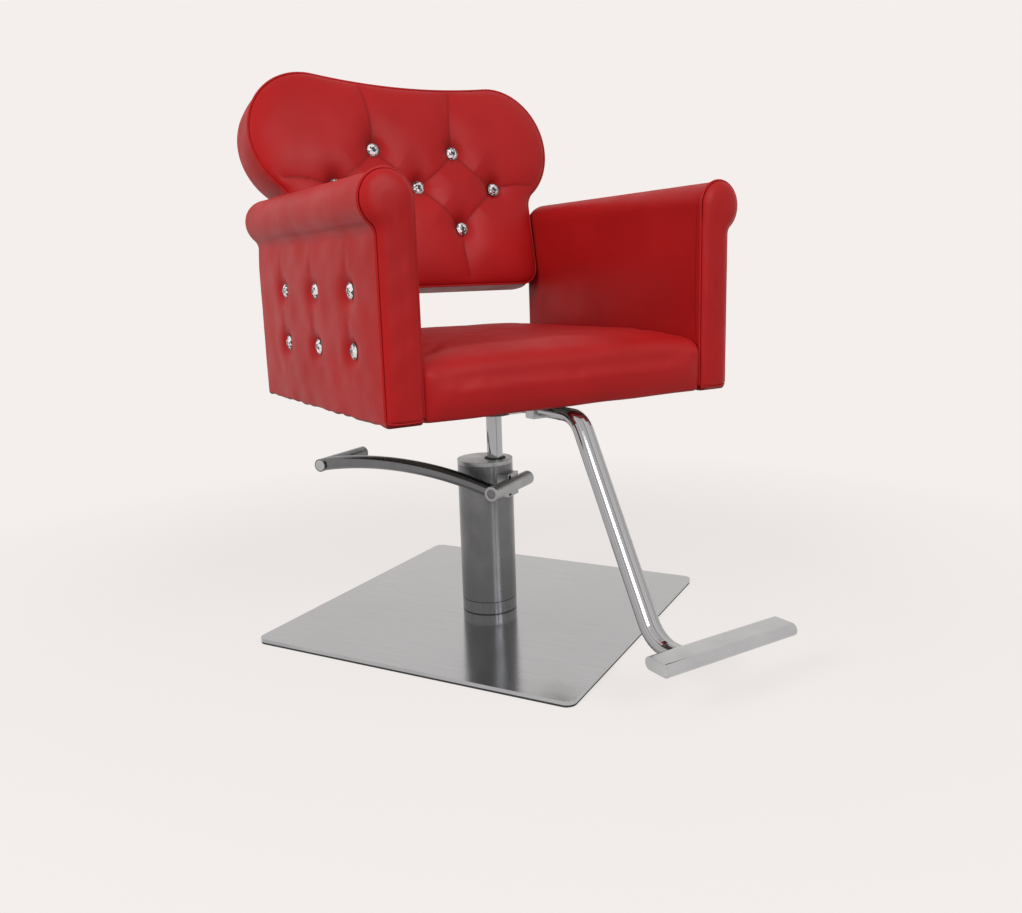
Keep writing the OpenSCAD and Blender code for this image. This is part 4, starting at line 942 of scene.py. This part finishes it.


# the cover sinks towards pleats and buttons; returns its points, depths and painted shade along the creases,
# round the pits and above each button
def tufting(flat):
    flat, line = ontoPleats(flat)
    spot = np.full(len(flat), 9.0)
    above = np.zeros(len(flat))
    for place in backSpots:
        spot = np.minimum(spot, np.linalg.norm(flat - np.array(place), axis=1))
        side, up = flat[:, 0] - place[0], flat[:, 1] - place[1]
        width = sinking["foldWide"] + sinking["foldWiden"] * np.abs(up)
        above = np.maximum(above, bell(side, width) * np.exp(-np.abs(up) / sinking["foldLong"]) * (up > 0))
    pit = 0.60 * bell(spot, sinking["pitNear"]) + 0.40 * bell(spot, sinking["pitFar"])
    valley = 0.50 * np.exp(-line / sinking["pleatNear"]) + 0.50 * bell(line, sinking["pleatFar"])
    valley = valley * (0.55 + 0.45 * np.exp(-spot / sinking["pleatFade"]))
    deep = sinking["pit"] * pit + sinking["pleat"] * valley * (1 - pit)
    deep = deep + sinking["fold"] * above * (1 - bell(spot, 0.016))
    creaseWide = sinking["crease"] + sinking["creaseMore"] * np.exp(-spot / sinking["creaseLong"])
    crease = np.exp(-line / creaseWide) * (1 - bell(spot, 0.012))
    return flat, deep, np.clip(0.66 * crease + 0.50 * bell(spot, 0.019) + 0.80 * above, 0, 0.9)


# rings of the cover, each with its kind, its size as a share of the rim, its inset and its depth
def backRings():
    rings = [("front", size, 0, 0) for size in np.linspace(back["least"], 1, back["frontRows"]) ** 0.85]
    bend = back["rearRound"] - back["thick"]
    for w in (-0.004, -0.010, -0.018, -0.028, -0.038, -0.048, -0.058, -0.067, bend):
        rings.append(("side", 1, -back["sideBulge"] * math.sin(math.pi * min(1, -w / 0.078)), w))
    for k in range(1, back["cornerRows"] + 1):
        turn = math.pi / 2 * k / back["cornerRows"]
        inset = back["rearRound"] * (1 - math.cos(turn))
        rings.append(("side", 1, inset, back["rearRound"] * (1 - math.sin(turn)) - back["thick"]))
    for size in np.linspace(1, back["least"], back["rearRows"])[1:]:
        rings.append(("rear", size, back["rearRound"], -back["thick"]))
    return rings


# one ring of the front: crowned, and tufted with painted shade in its creases and pits, apart from the
# outermost rings
def frontRing(rim, size):
    centre = np.array(back["centre"])
    flat = centre + size * (rim - centre)
    body = math.sqrt(max(0, 1 - size ** 3.2))
    height = np.full(len(flat), back["crown"] * body)
    if size >= 0.985:
        return flat, height, np.zeros(len(flat))
    fade = 1 - size ** 24
    flat, deep, crease = tufting(flat)
    return flat, height - fade * deep * min(1, body * 2.2), crease * fade


# one ring of the side or the rear, with painted shade darkening the foot of the side
def outerRing(kind, size, inset, w, on):
    centre = np.array(back["centre"])
    corner = back["corner"] + (back["rearCorner"] - back["corner"]) * smoothStep(0.004, 0.05, -w)
    flat = centre + size * (backOutline(inset, corner)[on] - centre)
    if kind == "rear":
        return flat, np.full(len(flat), w - back["rearHollow"] * (1 - size ** 4)), np.zeros(len(flat))
    return flat, np.full(len(flat), w), 0.55 * (1 - smoothStep(0.004, 0.03, flat[:, 1]))


def makeBack():
    rings = backRings()
    rim = backOutline(0)
    last = len(rings) - 1

    def place(s, t):
        ring = np.round(t * last).astype(int)
        on = np.round(s * backCount).astype(int)
        points = np.zeros((len(s), 3))
        fold = np.zeros(len(s))
        for k, (kind, size, inset, w) in enumerate(rings):
            here = ring == k
            if kind == "front":
                flat, height, shade = frontRing(rim[on[here]], size)
            else:
                flat, height, shade = outerRing(kind, size, inset, w, on[here])
            points[here, :2], points[here, 2], fold[here] = flat, height, shade
        points[:, 2] += back["uneven"] * waves(points, 0.05, 3.1) * (points[:, 2] > 0.006)
        return points, fold

    piece = gridPiece("backCushion", backCount, last, place)
    mergeSeams(piece)
    closeUp(piece)
    piece.data.transform(backFrame)
    smooth(piece, 60)
    dress(piece, leatherette)
    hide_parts("back_pad", "back_shell")


def makeBackPiping():
    line = backOutline(-piping["lift"])[:-1]
    path = np.stack([line[:, 0], line[:, 1], np.full(len(line), 0.0006)], 1)
    welt = tubePiece("backPiping", path, piping["radius"], piping["sides"], True, (0, 0, 1))
    welt.data.transform(backFrame)
    smooth(welt, 60)
    dress(welt, leatherette)
    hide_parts("back_piping")


makeBack()
makeBackPiping()
print("back made")

# crystal buttons

button = {
    "cupR": 0.0123, "cupH": 0.0045, "cupSides": 32, "wall": 0.0007, "rim": 0.0004, "sink": 0.0012,
    "stoneR": 0.0114, "facets": 8, "girdle": 0.0008, "sunk": 0.0062, "turn": 0.9,
    "crown": {"thickness": 0.0028, "depth": 0.0026}, "table": {"thickness": 0.0032, "depth": 0.0014},
}


def makeDisc(sides, radius, deep, low):
    clearSelection()
    bpy.ops.mesh.primitive_cylinder_add(vertices=sides, radius=radius, depth=deep,
                                        location=(0, 0, low + deep / 2))
    bpy.ops.object.transform_apply(location=True)
    return bpy.context.object


# goes to edit mode with only the top face selected
def editTop(piece):
    bpy.ops.object.mode_set(mode="EDIT")
    bpy.ops.mesh.select_mode(type="FACE")
    bpy.ops.mesh.select_all(action="DESELECT")
    bpy.ops.object.mode_set(mode="OBJECT")
    for face in piece.data.polygons:
        face.select = face.normal.z > 0.9
    bpy.ops.object.mode_set(mode="EDIT")


def makeCup():
    cup = makeDisc(button["cupSides"], button["cupR"], button["cupH"], 0)
    editTop(cup)
    bpy.ops.mesh.inset(thickness=button["wall"])
    bpy.ops.mesh.inset(thickness=button["rim"], depth=-button["sink"])
    bpy.ops.object.mode_set(mode="OBJECT")
    addModifier(cup, "BEVEL", width=button["rim"], segments=2, limit_method="ANGLE")
    smooth(cup, 35)
    return cup


def makeGem():
    gem = makeDisc(button["facets"], button["stoneR"], button["girdle"], button["cupH"] - button["sink"])
    editTop(gem)
    bpy.ops.mesh.inset(**button["crown"])
    bpy.ops.transform.rotate(value=math.pi / button["facets"], orient_axis="Z", center_override=(0, 0, 0))
    bpy.ops.mesh.inset(**button["table"])
    bpy.ops.mesh.select_all(action="SELECT")
    bpy.ops.mesh.quads_convert_to_tris(quad_method="FIXED")
    bpy.ops.object.mode_set(mode="OBJECT")
    # an uneven share from 0 to 1 for each facet
    facet = gem.data.attributes.new("facet", "FLOAT", "FACE")
    for face in gem.data.polygons:
        facet.data[face.index].value = math.sin(face.index * 12.99) * 437.585 % 1
    return gem


def makeButtons():
    cup, gem = makeCup(), makeGem()
    seats = [backFrame @ Matrix.Translation((x, y, back["floor"])) for x, y in backSpots]
    for sign in (-1, 1):
        outward = Matrix.Rotation(sign * math.pi / 2, 4, "Y")
        out = sign * (arm["outer"] - button["sunk"])
        seats += [Matrix.Translation((out, y, z)) @ outward for y, z in armSpots()]
    cups, gems = [], []
    for k, seatPlace in enumerate(seats):
        turned = seatPlace @ Matrix.Rotation(k * button["turn"], 4, "Z")
        cups.append(placedCopy(cup, turned))
        gems.append(placedCopy(gem, turned))
    bpy.data.objects.remove(cup)
    bpy.data.objects.remove(gem)
    cups, gems = joined("buttonCups", cups), joined("buttonStones", gems)
    dress(cups, cupMetal)
    dress(gems, stone)
    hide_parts("button_rims")
    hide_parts("button_gems")


makeButtons()
print("buttons made")

# room and light

room = {
    "pale": (0.905, 0.863, 0.839), "fillLow": 0.12, "fillHigh": 0.44, "lowAt": -0.25, "highAt": 0.45,
    "floorR": 3.0, "floorZ": -0.0004, "floorColour": (0.32, 0.31, 0.30), "floorGlow": 0.785,
    "shadowShare": 0.2, "fadeFrom": 0.7, "fadeTo": 1.5,
}
lamps = [
    {"name": "topLamp", "place": (0.1, -0.2, 2.7), "aim": (0, 0, 0.5), "size": 2.0, "power": 2},
    {"name": "keyLamp", "place": (0.3, -2.7, 1.85), "aim": (0, 0, 0.7), "size": 1.2, "power": 36},
    {"name": "leftLamp", "place": (-2.2, -0.7, 1.60), "aim": (0, 0, 0.6), "size": 1.0, "power": 32},
]
mirroredLamp = "keyLamp"  # the only lamp that shows in glossy surfaces


# 1 for rays from the camera, reflected or gone through glass, which see the pale background
def seenRays(tree):
    path = addNode(tree, "ShaderNodeLightPath").outputs
    seen = path["Is Camera Ray"]
    for kind in ("Is Glossy Ray", "Is Transmission Ray"):
        seen = addNode(tree, "ShaderNodeMath", {0: seen, 1: path[kind]}, operation="MAXIMUM").outputs[0]
    return seen


def addWorld():
    world = bpy.data.worlds.new("studio")
    scene.world = world
    world.use_nodes = True
    tree = world.node_tree
    tree.nodes.clear()
    toward = addNode(tree, "ShaderNodeTexCoord").outputs["Generated"]
    height = addNode(tree, "ShaderNodeSeparateXYZ", {0: toward}).outputs[2]
    level = addNode(tree, "ShaderNodeMapRange", {
        "Value": height, "From Min": room["lowAt"], "From Max": room["highAt"],
        "To Min": room["fillLow"], "To Max": room["fillHigh"]}).outputs[0]
    fill = addNode(tree, "ShaderNodeBackground", {"Color": (1, 1, 1, 1), "Strength": level}).outputs[0]
    pale = addNode(tree, "ShaderNodeBackground", {"Color": (*room["pale"], 1)}).outputs[0]
    whole = addNode(tree, "ShaderNodeMixShader", {0: seenRays(tree), 1: fill, 2: pale}).outputs[0]
    addNode(tree, "ShaderNodeOutputWorld", {"Surface": whole})


# lit plainly for the other rays, and pale with the object's shadow where it is seen
def makeFloorMaterial():
    t = Tree("paleFloor")
    t.tree.nodes.remove(t.shader)
    plain = t.add("ShaderNodeBsdfDiffuse", {"Color": (*room["floorColour"], 1)}).outputs[0]
    glow = t.add("ShaderNodeEmission", {"Color": (*room["pale"], 1),
                                        "Strength": room["floorGlow"]}).outputs[0]
    shadowTone = tuple(room["shadowShare"] * c for c in room["pale"])
    shadowed = t.add("ShaderNodeBsdfDiffuse", {"Color": (*shadowTone, 1)}).outputs[0]
    looks = t.add("ShaderNodeAddShader", {0: glow, 1: shadowed}).outputs[0]
    body = t.add("ShaderNodeMixShader", {0: seenRays(t.tree), 1: plain, 2: looks}).outputs[0]
    away = t.add("ShaderNodeVectorMath", {0: t.coords}, operation="LENGTH").outputs["Value"]
    edge = t.ranged(away, room["fadeFrom"], room["fadeTo"], 0, 1)
    clear = t.add("ShaderNodeBsdfTransparent").outputs[0]
    whole = t.add("ShaderNodeMixShader", {0: edge, 1: body, 2: clear}).outputs[0]
    t.tree.links.new(whole, t.tree.nodes["Material Output"].inputs["Surface"])
    return t.material


def addFloor():
    clearSelection()
    bpy.ops.mesh.primitive_circle_add(vertices=96, radius=room["floorR"], fill_type="NGON",
                                      location=(0, 0, room["floorZ"]))
    floor = bpy.context.object
    floor.name = "studioFloor"
    floor.data.materials.append(makeFloorMaterial())


def addLamp(made):
    clearSelection()
    bpy.ops.object.light_add(type="AREA", location=made["place"])
    lamp = bpy.context.object
    lamp.name = made["name"]
    lamp.data.size = made["size"]
    lamp.data.energy = made["power"]
    lamp.visible_glossy = made["name"] == mirroredLamp
    toward = Vector(made["aim"]) - Vector(made["place"])
    lamp.rotation_euler = toward.to_track_quat("-Z", "Y").to_euler()


addWorld()
addFloor()
for made in lamps:
    addLamp(made)
scene.view_settings.view_transform = "Standard"
print("room and lamps set")
